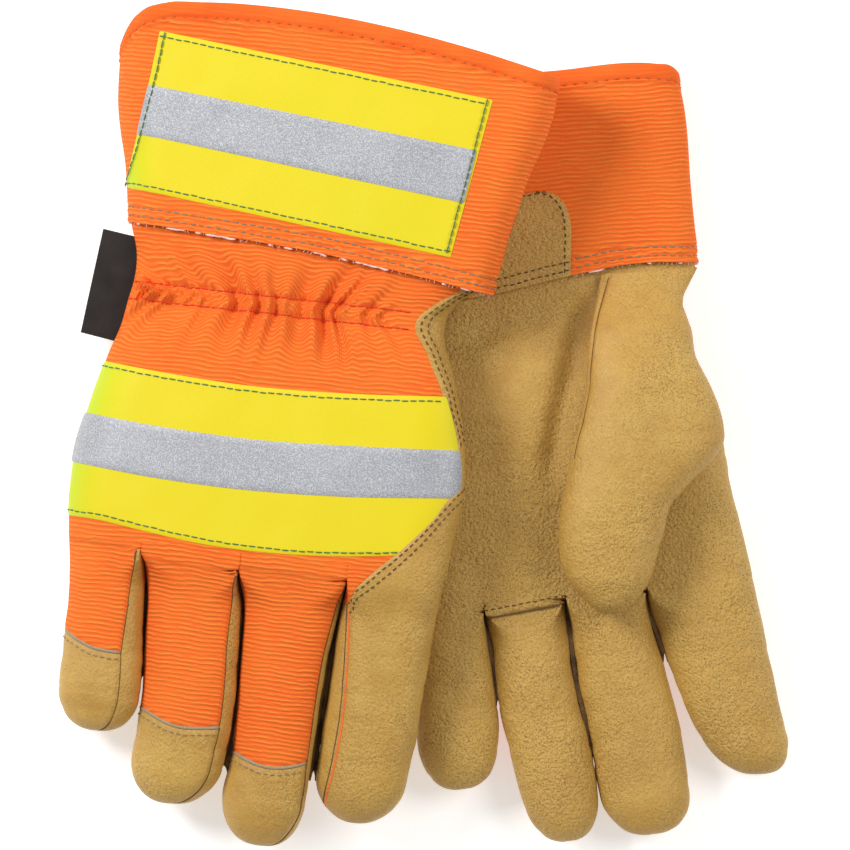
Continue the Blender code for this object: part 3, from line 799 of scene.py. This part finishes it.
class Finish:
    """A material with a short way to add nodes. Sockets are linked and numbers are set."""

    def __init__(self, name, **sockets):
        self.material = bpy.data.materials.new(name)
        self.material.use_nodes = True
        self.tree = self.material.node_tree
        self.shader = next(n for n in self.tree.nodes if n.type == "BSDF_PRINCIPLED")
        for key, value in sockets.items():
            self.shader.inputs[key.replace("_", " ")].default_value = value

    def node(self, kind, inputs=(), **settings):
        made = self.tree.nodes.new(kind)
        for key, value in settings.items():
            setattr(made, key, value)
        for key, value in dict(inputs).items():
            self.link(value, made.inputs[key])
        return made

    def link(self, value, socket):
        if isinstance(value, bpy.types.NodeSocket):
            self.tree.links.new(value, socket)
        else:
            socket.default_value = value

    def maths(self, operation, a, b=0.0):
        return self.node("ShaderNodeMath", {0: a, 1: b}, operation=operation).outputs[0]

    def plus(self, a, b):
        return self.maths("ADD", a, b)

    def times(self, a, b):
        return self.maths("MULTIPLY", a, b)

    def split(self, vector):
        """The x, y and z of a vector."""
        return self.node("ShaderNodeSeparateXYZ", {0: vector}).outputs

    def mix(self, share, a, b):
        made = self.node("ShaderNodeMix", {"Factor": share}, data_type="RGBA")
        self.link(a, made.inputs[6])
        self.link(b, made.inputs[7])
        return made.outputs[2]

    def cloth(self, across=1.0, along=1.0):
        uv = self.node("ShaderNodeUVMap", uv_map="cloth").outputs[0]
        return self.node("ShaderNodeMapping", {"Vector": uv, "Scale": (across, along, 1.0)}).outputs[0]

    def place(self):
        return self.node("ShaderNodeTexCoord").outputs["Object"]

    def noise(self, vector, scale, detail=2.0, rough=0.5):
        inputs = {"Vector": vector, "Scale": scale, "Detail": detail, "Roughness": rough}
        return self.node("ShaderNodeTexNoise", inputs).outputs["Fac"]

    def ramp(self, value, low, high):
        inputs = {"Value": value, "From Min": low, "From Max": high}
        return self.node("ShaderNodeMapRange", inputs).outputs[0]

    def ribs(self, coordinate, pitch_mm, jitter=0.0):
        """Rounded ribs from 0 to 1 along a coordinate."""
        turns = self.times(coordinate, 100 / pitch_mm * 2 * math.pi)
        wave = self.maths("SINE", self.plus(turns, jitter))
        return self.ramp(wave, -1.0, 1.0)

    def finish(self, base, height, strength, distance):
        self.link(base, self.shader.inputs["Base Color"])
        made = self.node("ShaderNodeBump", {"Strength": strength, "Distance": distance, "Height": height})
        self.link(made.outputs[0], self.shader.inputs["Normal"])
        return self.material


def orange_fabric(name="orange_rib", depth=1.0):
    """Ribbed knit, with painted highlight on the rib crests and painted shade in the hollows between them. A
    depth below 1 flattens the ribs and their painted shading, as they are where the cloth is turned and
    pressed.
    """
    f = Finish(name, Roughness=0.85, Specular_IOR_Level=0.15)
    xyz = f.split(f.cloth())
    drift = f.times(f.noise(f.cloth(), 9.0, 3.0), 9.0)
    rib = f.ribs(xyz[1], 1.45, drift)
    broken = f.ramp(f.noise(f.cloth(16.0, 90.0), 1.0, 2.0), 0.30, 0.62)
    knit = f.ribs(xyz[0], 0.62)
    ridge = f.times(rib, f.plus(0.25 * depth, f.times(broken, 0.75 * depth)))
    height = f.plus(ridge, f.times(knit, 0.2))
    # Crests of the ribs lighter, hollows darker: painted highlight and painted shade along the ribs.
    light = f.mix(ridge, colour(238, 96, 34), colour(250, 142, 60))
    patchy = f.ramp(f.noise(f.place(), 42.0, 3.0), 0.35, 0.75)
    base = f.mix(f.times(patchy, 0.45), light, colour(248, 130, 50))
    return f.finish(base, height, 0.8, 0.0004)


def yellow_tape():
    f = Finish("yellow_tape", Roughness=0.5, Specular_IOR_Level=0.2)
    up = f.split(f.node("ShaderNodeNewGeometry").outputs["Normal"])[2]
    # The tape turns lime where its surface tilts away from level: painted shade, with a little random mottle
    # mixed in.
    painted_tilt_shade = f.ramp(up, 0.95, 0.55)
    cloudy = f.ramp(f.noise(f.place(), 26.0, 2.0), 0.45, 0.7)
    lime_painted_shade_and_mottle = f.times(f.plus(painted_tilt_shade, f.times(cloudy, 0.15)), 0.85)
    base = f.mix(lime_painted_shade_and_mottle, colour(225, 206, 28), colour(190, 208, 34))
    xyz = f.split(f.cloth())
    weave = f.plus(f.ribs(xyz[0], 0.55), f.ribs(xyz[1], 0.55))
    return f.finish(base, f.plus(weave, f.noise(f.place(), 300.0)), 0.12, 0.0002)


def silver_tape():
    f = Finish("silver_tape", Roughness=0.5, Metallic=0.1, Specular_IOR_Level=0.4)
    grain = f.noise(f.place(), 2400.0, 2.0, 0.7)
    # Fine lighter specks: painted sparkle of the tape's beads.
    painted_sparkle = f.ramp(grain, 0.44, 0.66)
    cloudy = f.noise(f.place(), 60.0, 3.0)
    grey = f.mix(cloudy, colour(134, 135, 141), colour(161, 162, 167))
    base = f.mix(painted_sparkle, grey, colour(200, 201, 204))
    return f.finish(base, grain, 0.4, 0.0001)


def leather(name="leather", light=(206, 166, 82), dark=(182, 138, 62)):
    """Pigskin: closely pebbled, with small dark pits that are denser in some places than in others."""
    f = Finish(name, Roughness=0.5, Specular_IOR_Level=0.4)
    place = f.place()
    warp = f.node("ShaderNodeTexNoise", {"Vector": place, "Scale": 260.0, "Detail": 2.0}).outputs["Color"]
    bent = f.node("ShaderNodeVectorMath", {0: warp}, operation="SCALE")
    bent.inputs["Scale"].default_value = 0.0024
    moved = f.node("ShaderNodeVectorMath", {0: place, 1: bent.outputs[0]}, operation="ADD").outputs[0]
    cells = f.node("ShaderNodeTexVoronoi", {"Vector": moved, "Scale": 980.0}, feature="SMOOTH_F1")
    pebble = f.ramp(cells.outputs["Distance"], 0.75, 0.1)
    fine = f.noise(place, 1900.0, 3.0, 0.65)
    cloudy = f.ramp(f.noise(place, 26.0, 4.0, 0.55), 0.3, 0.72)
    worn = f.ramp(f.noise(place, 95.0, 4.0, 0.6), 0.38, 0.7)
    rough_here = f.ramp(f.noise(place, 24.0, 2.0), 0.38, 0.62)
    tone = f.mix(cloudy, colour(*dark), colour(*light))
    tone = f.mix(f.times(worn, 0.3), tone, colour(222, 186, 104))
    pits = f.times(f.ramp(fine, 0.52, 0.34), f.plus(0.3, f.times(rough_here, 0.5)))
    tone = f.mix(pits, tone, colour(124, 82, 36))
    crumb = f.times(f.plus(pebble, fine), f.plus(0.35, f.times(rough_here, 0.65)))
    return f.finish(tone, crumb, 0.75, 0.0005)


def plain_weave(name, low, high, pitch=0.7, roughness=0.9):
    f = Finish(name, Roughness=roughness, Sheen_Weight=0.1, Specular_IOR_Level=0.25)
    xyz = f.split(f.cloth())
    weave = f.times(f.ribs(xyz[0], pitch), f.ribs(xyz[1], pitch))
    worn = f.ramp(f.noise(f.place(), 120.0, 3.0), 0.3, 0.7)
    share = f.times(f.plus(weave, worn), 0.5)
    return f.finish(f.mix(share, colour(*low), colour(*high)), weave, 0.4, 0.0002)


def thread(name, low, high):
    f = Finish(name, Roughness=0.7, Sheen_Weight=0.1, Specular_IOR_Level=0.3)
    fibres = f.noise(f.place(), 2400.0, 2.0)
    return f.finish(f.mix(f.ramp(fibres, 0.3, 0.7), colour(*low), colour(*high)), fibres, 0.4, 0.0001)


MATERIALS = {
    "orange": orange_fabric(),
    "pressed": orange_fabric("orange_pressed", 0.22),
    "yellow": yellow_tape(),
    "silver": silver_tape(),
    "leather": leather(),
    # Far darker leather for the gussets between the fingers: painted shade.
    "painted_shade_leather": leather("painted_shade_leather", (84, 54, 32), (56, 34, 24)),
    "hem_thread": thread("hem_thread", (176, 84, 24), (214, 116, 42)),
    "orange_cord": thread("orange_cord", (226, 96, 30), (244, 134, 58)),
    "lining": plain_weave("lining", (196, 192, 182), (240, 238, 230)),
    "elastic": plain_weave("elastic", (190, 184, 172), (228, 224, 214), 1.1),
    "label": plain_weave("label", (22, 19, 18), (52, 45, 42), 0.5, 0.75),
    "green_thread": thread("green_thread", (58, 98, 62), (104, 136, 74)),
    "grey_thread": thread("grey_thread", (126, 104, 78), (160, 138, 108)),
    "red_thread": thread("red_thread", (205, 40, 10), (238, 78, 30)),
    "tan_thread": thread("tan_thread", (70, 48, 26), (122, 88, 48)),
    "binding": thread("binding", (136, 122, 98), (176, 158, 126)),
    "seam": thread("seam", (88, 62, 32), (128, 92, 50)),
    "raw_edge": thread("raw_edge", (232, 170, 156), (250, 226, 216)),
}


def crotch_dip(fork_y):
    """The turned edge of a finger's back, which starts at the fork beside it."""
    def dip(patch):
        past = smooth((patch.base[..., 1] - fork_y - 1) / 5)
        return -0.55 * past * (1 - smooth(patch.inside("thumb") / 1.5))

    return dip


class Dresser:
    """Makes the panels, the sewing and the tapes of one glove, and hangs the hand's pieces on the frame's
    hand body.
    """

    def __init__(self, glove):
        self.glove = glove
        self.plan = glove.plan
        self.side = glove.side
        self.hand_body = f"{glove.side}_hand"
        self.upper = glove.side == "right"
        self.relief = folds if self.upper else calm_folds

    def keep(self, obj, part="hand", nodes=()):
        """Hangs a piece on the hand. A piece of a finger or the thumb is not hung; its transform is baked
        into its mesh.
        """
        if nodes:
            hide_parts(*[f"{self.side}_{n}" for n in nodes])
        if part == "hand":
            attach(obj, self.hand_body)
            return obj
        thumb = part == "thumb"
        low, high = self.plan["thumb"]["blend_y"] if thumb else self.plan["blend_y"]
        shape = self.plan["thumb"] if thumb else self.plan["fingers"][part]
        for y in (low, high):
            x = float(spline(*shape["left"])(y) + spline(*shape["right"])(y)) / 2
            tuple(self.glove.place((x, y, 0.0)))
        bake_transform(obj)
        return obj

    def panel(self, name, patch, wall, material, part="hand", nodes=()):
        obj = shell(f"{self.side}_{name}", self.glove, patch, wall, MATERIALS[material])
        return self.keep(obj, part, nodes)

    def sewing(self, name, lines, kind, material, part="hand"):
        obj = stitches(f"{self.side}_{name}", self.glove, lines, kind, MATERIALS[material])
        return self.keep(obj, part)

    def welt(self, name, lines, radius, material, part="hand", sink=0.3):
        obj = cords(f"{self.side}_{name}", self.glove, lines, radius, MATERIALS[material], sink)
        return self.keep(obj, part)

    def sheet(self, name, patch, wall, material, node):
        """A panel that is a flat sheet, measured along its surface."""
        obj = self.panel(name, patch, wall, material, nodes=(node,))
        patch.area()

    def taped(self, place, grids, dips, relief, lift):
        """The yellow tape and the silver stripe on it. Gives the tape's patch."""
        made = []
        for (layer, material, wall, rise, dip, dip_width), grid, edges in zip(TAPE_LAYERS, grids, dips):
            patch = Patch(grid, raised=lift + rise, relief=relief, dips=edges, dip=dip, dip_width=dip_width)
            name = f"{place}_{layer}_cloth"
            self.sheet(name, patch, wall, material, f"{place}_{layer}")
            made.append(patch)
        return made[0]

    # The hand.

    def hand(self):
        plan, hand = self.plan, self.glove.hand
        seam = hand.seam(spline(*plan["fabric_edge"]))
        end = plan["palm_end"]
        back = Patch(lay(hand, HAND_START, end, 0.0, lambda v: seam(v) + 0.02, 0.55), relief=self.relief)
        self.panel("back_fabric", back, FABRIC, "orange", nodes=("back_panel",))
        hollow = None if self.upper else self.palm_hollow
        palm = Patch(lay(hand, HAND_START, end, seam, 2.0, 1.0), relief=leather_folds,
                     dips=("little",), dip=0.6, extra=self.palm_lip if self.upper else hollow)
        self.panel("palm_leather", palm, LEATHER, "leather", nodes=("palm",))
        if self.upper:
            edges = [palm.line("little", inset, 0.07, 0.62) for inset in (1.8, 4.4)]
            self.sewing("palm_edge_thread", edges, FINE, "tan_thread")
        inner = Patch(lay(hand, -20, end - 6, 1.08, 1.92, 2.4), raised=-LEATHER - 1.0, relief=leather_folds,
                      extra=hollow)
        self.panel("palm_lining_cloth", inner, LINING, "lining", nodes=("palm_lining",))
        band = Patch(lay(hand, -4.5, 3.5, 0.12, 0.82, 1.6), raised=-FABRIC - 1.6, relief=self.relief)
        self.panel("wrist_elastic_band", band, LINING, "elastic", nodes=("wrist_elastic",))
        rows = []
        for row in ELASTIC_ROWS:
            grid = lay(hand, row - 1.2, row + 1.2, 0.02, lambda v: seam(v) - 0.015, 0.6, rows=3)
            wave = Patch(grid, relief=self.relief, raised=0.25)
            rows.append((wave.points[1], wave.normal[1]))
        self.sewing("elastic_thread", rows, RUNNING, "red_thread")

    @staticmethod
    def palm_lip(patch):
        """The edge of the right palm's leather, which laps over the fabric at the side."""
        return 0.75 * (1 - smooth((patch.inside("little") - 2) / 5)) * (patch.base[..., 2] > 0)

    @staticmethod
    def palm_hollow(patch):
        """The hollow of the left palm beside the thumb, and the soft swelling in the middle of the palm."""
        x, y, z = (patch.base[..., k] for k in range(3))
        fold_x = spline((-10, 15.5), (3, 11.0), (23, 6.5), (38, 2.0), (60, -3.5))(y)
        hollow = bump(x - fold_x, 4.5) * smooth((y + 6) / 12) * smooth((66 - y) / 20)
        swelling = np.exp(-((x + 9) / 13) ** 2 - ((y - 32) / 24) ** 2)
        crease = bump(y - 4 + 0.25 * x, 4) * smooth((12 - x) / 8)
        return (1.6 * swelling - 3.6 * hollow - 1.0 * crease) * smooth((-z - 2) / 4)

    def knuckle_tapes(self):
        edge = self.glove.hand.seam(spline(*self.plan["tape_edge"]))
        grids = []
        for layer in ("knuckle_tape", "knuckle_stripe"):
            top, bottom = (spline(*knots) for knots in self.plan[layer])
            grids.append(lay(self.glove.hand, top, bottom, 0.015, lambda v: edge(v) + 0.006))
        dips = ("wrist", "tip", "little"), ("wrist", "tip")
        tape = self.taped("knuckle", grids, dips, self.relief, 0.0)
        rows = [tape.line(side, TAPE_INSET) for side in ("wrist", "tip")]
        self.sewing("knuckle_thread", rows, RUNNING, "green_thread")

    # The cuff.

    @staticmethod
    def cuff_hem(patch):
        """The folded hem at the mouth with the sewn hollow along it, and the sewn rows at the wrist."""
        away = patch.inside("wrist")
        fold = 0.6 * (1 - smooth((away - HEM_DEPTH - 1.0) / 0.7))
        groove = -0.75 * bump(away - HEM_DEPTH, 0.6)
        rounded = -0.7 * (1 - smooth(away / 1.2))
        low = patch.inside("tip")
        rows = sum(-0.45 * bump(low - inset, 0.7) for inset in CUFF_ROWS)
        bunched = 0.4 * noise(patch.base, (1.6, 3.0, 4.0), 33) * (1 - smooth((low - 4.5) / 1.5))
        return fold + groove + rounded + rows + bunched

    def cuff_section(self):
        cuff = self.glove.cuff
        wrap = Patch(lay(cuff, 0.0, 1.0, 0.0, 2.0, 0.7), raised=CUFF_RISE, relief=soft_folds,
                     extra=self.cuff_hem)
        fabric = self.panel("cuff_fabric", wrap, CUFF_FABRIC, "orange", nodes=("cuff",))
        self.press_hem(fabric, wrap)
        inner = Patch(lay(cuff, 0.015, 0.985, 0.0, 2.0, 1.6), raised=-1.0, relief=soft_folds)
        self.panel("cuff_lining_cloth", inner, LINING, "lining", nodes=("cuff_lining",))
        self.sewing("cuff_hem_thread", [wrap.line("wrist", HEM_DEPTH)], HEM, "hem_thread")
        self.sewing("cuff_seam_thread", [wrap.line("tip", inset) for inset in CUFF_ROWS], BOLD, "grey_thread")
        points, normals = wrap.line("tip", 0.2)
        covered = (points[:, 2] < 0) & (points[:, 0] > self.plan["patch_left"] - 2)
        covered &= points[:, 0] < self.plan["patch"][-1][1] + 0.4
        self.raw_edge(points[~covered], normals[~covered])
        self.fray(points[~covered], normals[~covered])
        self.cuff_tapes()

    @staticmethod
    def press_hem(fabric, wrap):
        """Flatter ribs on the hem, whose faces come first in the mesh."""
        fabric.data.materials.append(MATERIALS["pressed"])
        rows = int((wrap.inside("wrist").mean(axis=1) < HEM_DEPTH).sum())
        for face in fabric.data.polygons[:rows * (wrap.base.shape[1] - 1)]:
            face.material_index = 1

    def raw_edge(self, points, normals):
        """The cut edge of the lining, which shows below the cuff in short lengths."""
        shown = noise(points, 3.2, 41) + 0.5 * noise(points, 1.3, 42) > 0.0
        gaps = np.linalg.norm(np.diff(points, axis=0), axis=1) > 3
        breaks = np.flatnonzero((np.diff(shown.astype(int)) != 0) | gaps) + 1
        lines = []
        for part in np.split(np.arange(len(points)), breaks):
            if len(part) < 3 or not shown[part[0]]:
                continue
            ragged = points[part] + np.array([0, 0.45, 0]) - normals[part] * 0.5
            ragged[:, 1] += 0.35 * noise(points[part], 1.1, 21)
            lines.append((ragged, normals[part]))
        self.welt("cuff_raw_edge", lines, 0.42, "raw_edge")

    def fray(self, points, normals):
        """Loose ends of lining that stand out of the cuff's raw edge."""
        tubes = []
        for n in range(0, len(points) - 1, 2):
            reach = 0.8 + 0.6 * lattice(np.int64(n), np.int64(1), np.int64(0), 31)
            lean = 0.9 * lattice(np.int64(n), np.int64(2), np.int64(0), 31)
            root = points[n] - normals[n] * 0.6
            tip = root + np.array([lean, reach, 0.0]) - normals[n] * 0.3
            line = np.linspace(root, tip, 4)
            tubes.append(tube(line, np.repeat(normals[n][None], 4, 0), [0.14, 0.13, 0.11, 0.06], 4))
        obj = join_tubes(f"{self.side}_cuff_fray", self.glove, tubes, MATERIALS["raw_edge"])
        self.keep(obj)

    def cuff_tapes(self):
        grids = [quad(self.glove.cuff, self.plan[layer]) for layer in ("cuff_tape", "cuff_stripe")]
        dips = ("wrist", "tip", "little", "thumb")
        tape = self.taped("cuff", grids, (dips, dips), soft_folds, CUFF_RISE)
        lines = [tape.line(edge, TAPE_INSET) for edge in ("wrist", "tip")]
        # The rows along the sides run over the stripe too, so they lie higher.
        stack = Patch(grids[0], raised=SIDE_ROWS_RISE, relief=soft_folds)
        lines += [stack.line(edge, TAPE_INSET) for edge in ("little", "thumb")]
        self.sewing("cuff_tape_thread", lines, RUNNING, "green_thread")

    def pulse_patch(self):
        """The leather over the pulse, on the palm side of the cuff, with a rounded outer edge."""
        plan, cuff = self.plan, self.glove.cuff
        edge = spline(*plan["patch"])
        middle_x = plan["patch"][-1][1]
        far = float(cuff.find(middle_x, plan["patch"][0][0], True)[1])
        shares = np.linspace(far, 1.0, 40)
        ys = []
        for v in shares:
            row = cuff.at(np.linspace(2, 1, 200), v)
            ys.append(float(np.interp(middle_x, row[:, 0], row[:, 1])))
        right = cuff.seam(lambda v: edge(np.interp(v, shares, ys)), True)
        left = cuff.seam(plan["patch_left"], True)
        patch = Patch(lay(cuff, far, 1.0, right, left, 0.8), raised=PATCH_RISE, relief=soft_folds,
                      dips=("wrist", "little", "thumb"), dip=0.7, dip_width=1.6)
        self.sheet("pulse_leather", patch, LEATHER, "leather", "pulse_patch")
        rows = ("wrist", 2.0), ("little", 2.0), ("tip", 1.8), ("tip", 4.6)
        self.sewing("pulse_thread", [patch.line(*row) for row in rows], FINE, "tan_thread")

    def label(self):
        """The plain woven tab at the side of the wrist, bowed, with a ridge near both ends."""
        flat, s, t = between(self.plan["label"], 40, 14)
        bow = 0.6 * np.sin(math.pi * s) * (1 - t) + 0.35 * np.sin(3.3 * s + 2 * t)

        def ridges(patch):
            return 0.22 * bump(np.minimum(patch.inside("wrist"), patch.inside("tip")) - 1.2, 0.5)

        tab = Patch(np.concatenate([flat, self.plan["label_z"] + bow], 2), relief=None, extra=ridges)
        self.sheet("label_tab", tab, LABEL, "label", "label")

    # Fingers.

    def finger(self, name):
        """One finger: a leather front and, except on the index finger, a fabric back with a leather tip."""
        skin = self.glove.fingers[name]
        base, end = self.plan["palm_end"], skin.vs[-1]
        wrap = 0.0 if self.upper else 0.1
        edge = 1.0
        if name != "index":
            edge = self.finger_edge(name)
            self.fabric_back(name, edge, wrap)
        elif self.upper:
            self.slanted_index_back(skin, end)
        else:
            back = Patch(lay(skin, base, end, 0.0, 1.0, 0.9), relief=leather_folds)
            self.panel("index_back_leather", back, FABRIC, "leather", name, ("index_back",))
        front = Patch(lay(skin, base, end, edge, 2.0 + wrap, 0.9), relief=leather_folds,
                      extra=self.ring_ridge if self.raised_ring(name) else None)
        self.panel(f"{name}_front_leather", front, LEATHER, "leather", name, (f"{name}_front",))
        if self.raised_ring(name):
            self.ring_seam(skin)

    def finger_edge(self, name):
        """u by v of the seam between a finger's fabric back and its leather front."""
        finger, skin = self.plan["fingers"][name], self.glove.fingers[name]
        right, strip = spline(*finger["right"]), spline(*finger["strip"])
        held = min(skin.dome, finger["tip"])
        fork_y = self.plan["crotches"][name][0]

        def edge_x(v):
            v = min(v, held)
            return right(v) - strip(v) * smooth((v - fork_y + 2) / 2) + 3 * joined(fork_y, v)

        seam = skin.seam(edge_x)
        at_dome = float(seam(held))
        return lambda v: np.where(v < held, seam(v), at_dome)

    def fabric_back(self, name, edge, wrap):
        """A finger's fabric back, the leather cap over its tip, and their sewing."""
        skin = self.glove.fingers[name]
        cap_line = spline(*self.plan["fingers"][name]["cap"])
        fork = crotch_dip(self.plan["crotches"][name][0])
        back = Patch(lay(skin, self.plan["palm_end"], cap_line, wrap, edge, 0.8), relief=self.relief,
                     dips=("tip",), dip=0.5, extra=fork)
        self.panel(f"{name}_back_fabric", back, FABRIC, "orange", name, (f"{name}_back",))
        cap = Patch(lay(skin, cap_line, skin.vs[-1], wrap, edge, 0.8), relief=leather_folds, raised=0.1,
                    dips=("wrist",), dip=0.5, extra=fork)
        self.panel(f"{name}_tip_leather", cap, LEATHER, "leather", name, (f"{name}_tip",))
        self.welt(f"{name}_tip_binding", [cap.line("wrist", 0.0)], 0.62, "binding", name, 0.0)
        self.sewing(f"{name}_tip_thread", [cap.line("wrist", 2.3)], FINE, "grey_thread", name)
        sides = [piece.line("thumb", 0.1) for piece in (back, cap)]
        self.welt(f"{name}_side_seam", sides, 0.3, "seam", name, 0.2)

    def raised_ring(self, name):
        """The left ring finger's front is sewn on below a raised edge of the palm."""
        return (self.side, name) == ("left", "ring")

    @staticmethod
    def ring_ridge(patch):
        """The step down from that edge, and the groove along it."""
        x, y, z = (patch.base[..., k] for k in range(3))
        past = y - (100.4 + (x + 26.5) * -0.12)
        step = -0.9 * smooth((past + 0.4) / 0.7) * (1 - smooth((past - 2) / 12))
        return (step - 0.4 * bump(past - 0.5, 0.6)) * smooth((-z - 2) / 4)

    def ring_seam(self, skin):
        """The seam and the stitches along that edge."""
        def line(x, past=0.0):
            return 100.7 + (np.asarray(x) + 26.5) * -0.12 + past

        grid = lay(skin, line, lambda x: line(x, 1.2), 1.03, 1.97, 0.8, rows=4)
        across = Patch(grid, relief=leather_folds, raised=-0.5)
        self.welt("ring_base_seam", [(across.points[0], across.normal[0])], 0.3, "seam", "ring", 0.0)
        grid = lay(skin, lambda x: line(x, -2.6), lambda x: line(x, -2.0), 1.08, 1.92, 0.8, rows=4)
        stitched = Patch(grid, relief=leather_folds)
        self.sewing("ring_base_thread", [(stitched.points[0], stitched.normal[0])], FINE, "seam", "ring")

    def slanted_index_back(self, skin, end):
        """The right index finger's back is leather, and laps over the fabric along a slanted edge."""
        slant = spline((30, 94.0), (35.6, 90.4), (38, 86.4), (42, 81.6), (50.1, 73.4), (58, 63.6),
                       (65.5, 52.1), (67.6, 49.6))

        def lap(patch):
            y = patch.base[..., 1]
            return 1.15 * (1 - smooth((y - 84) / 12)) * smooth((patch.base[..., 2] - 1) / 5)

        side = skin.seam(spline((80, 34.6), (88, 34.8), (93.2, 35.6), (115, 37.2), (134, 37.4),
                                (148, 36.2), (158, 34.6)))
        back = Patch(lay(skin, slant, end, side, 1.0, 0.8), relief=leather_folds, dips=("wrist", "little"),
                     dip=0.55, dip_width=1.3, extra=lap)
        self.panel("index_back_leather", back, FABRIC, "leather", "index", ("index_back",))
        strip = Patch(lay(skin, 82.5, end, 0.0, side, 0.8), relief=leather_folds, dips=("thumb",),
                      dip=0.6, dip_width=1.3)
        self.panel("index_side_leather", strip, FABRIC, "leather", "index")
        cord, seam = strip.line("thumb", 0.0, 0.12, 0.93), strip.line("thumb", 1.1, 0.1, 0.97)
        self.welt("index_side_cord", [cord], 0.42, "orange_cord", "index", -0.3)
        self.welt("index_side_seam", [seam], 0.24, "seam", "index", 0.2)
        rows = [back.line("wrist", inset) for inset in (1.8, 5.2)]
        self.sewing("index_thread", rows, FINE, "tan_thread", "index")
        gore = Patch(lay(skin, 80.0, lambda x: np.maximum(slant(x) + 1.5, 80.6), 0.0, skin.seam(46.0), 0.8))
        self.panel("index_gore_fabric", gore, FABRIC, "orange", "index")

    def gussets(self):
        """The leather sides that close the forks between neighbouring fingers, in leather far darker than the
        rest: painted shade in the forks.
        """
        fingers, crotches = self.glove.fingers, self.plan["crotches"]
        for name, beside in zip(FINGERS, FINGERS[1:]):
            first, last = crotches[name]
            last = self.plan["closed_to"].get(name, last)
            v = np.linspace(first - 2.0, last, int(last - first) + 20)
            near, far = fingers[name].at(0.985, v), fingers[beside].at(0.015, v)
            far[:, 1] = near[:, 1]
            t = np.linspace(0, 1, 8)[None, :, None]
            fork = near[:, None] * (1 - t) + far[:, None] * t
            web = np.sin(math.pi * t[..., 0])
            fork[..., 1] -= 3.5 * web * smooth((v - last + 12) / 12)[:, None]
            fork[..., 2] -= self.plan["gusset_drop"] + 1.2 * web
            self.panel(f"{name}_gusset", Patch(fork, relief=None), GUSSET, "painted_shade_leather", name)

    @staticmethod
    def thumb_press(patch):
        """The hollow along the left thumb's seam."""
        return -0.7 * bump(patch.inside("thumb") - 3.2, 0.8) * smooth((62 - patch.base[..., 1]) / 10)

    def thumb(self):
        start, skin = self.plan["thumb"]["start"], self.glove.thumb
        end = skin.vs[-1]
        front = Patch(lay(skin, start, end, 1.0, 2.0, 0.9), relief=leather_folds,
                      extra=None if self.upper else self.thumb_press)
        self.panel("thumb_front_leather", front, LEATHER, "leather", "thumb", ("thumb_front",))
        back = Patch(lay(skin, start, end, 0.0, 1.0, 1.2), relief=leather_folds)
        self.panel("thumb_back_leather", back, LEATHER, "leather", "thumb", ("thumb_back",))
        if not self.upper:
            self.welt("thumb_side_seam", [front.line("thumb", 3.2, 0.0, 0.5)], 0.26, "seam", "thumb", 0.3)

    def dress(self):
        self.hand()
        self.knuckle_tapes()
        self.cuff_section()
        self.pulse_patch()
        self.label()
        for name in FINGERS:
            self.finger(name)
        self.gussets()
        self.thumb()


for hand_plan in (LEFT, RIGHT):
    Dresser(Glove(hand_plan)).dress()


# The table, the light and the camera.

def studio():
    turns = (-1, -1), (1, -1), (1, 1), (-1, 1)
    corners = [(x * TABLE_REACH, y * TABLE_REACH, TABLE_LEVEL) for x, y in turns]
    table = new_mesh("table", corners, [(0, 1, 2, 3)])
    pale = Finish("pale_table", Roughness=0.9, Specular_IOR_Level=0.1, Emission_Strength=TABLE_GLOW,
                  Emission_Color=(1, 1, 1, 1))
    cloudy = pale.noise(pale.place(), 3.0)
    white = pale.mix(cloudy, colour(246, 246, 246), colour(250, 250, 250))
    table.data.materials.append(pale.finish(white, cloudy, 0.0, 0.0))
    world = bpy.data.worlds.new("soft_white")
    world.use_nodes = True
    sky = world.node_tree.nodes["Background"].inputs
    sky["Color"].default_value = (1, 1, 1, 1)
    sky["Strength"].default_value = WORLD_LIGHT
    bpy.context.scene.world = world
    for name, at, size, power in LAMPS:
        lamp = bpy.data.lights.new(name, "AREA")
        lamp.shape = "DISK"
        lamp.size = size
        lamp.energy = power
        obj = bpy.data.objects.new(name, lamp)
        obj.location = at
        obj.rotation_euler = Vector((-at[0], -at[1], -at[2])).to_track_quat("-Z", "Y").to_euler()
        bpy.context.scene.collection.objects.link(obj)
    lens = bpy.data.cameras.new("camera")
    lens.sensor_width = 36.0
    lens.lens = 36.0 * CAMERA_DISTANCE / VIEW_WIDTH
    lens.clip_end = 20.0
    camera = bpy.data.objects.new("camera", lens)
    camera.location = (*VIEW_CENTRE, CAMERA_DISTANCE + VIEW_HEIGHT)
    bpy.context.scene.collection.objects.link(camera)
    bpy.context.scene.camera = camera
    bpy.context.scene.view_settings.view_transform = "Standard"


studio()
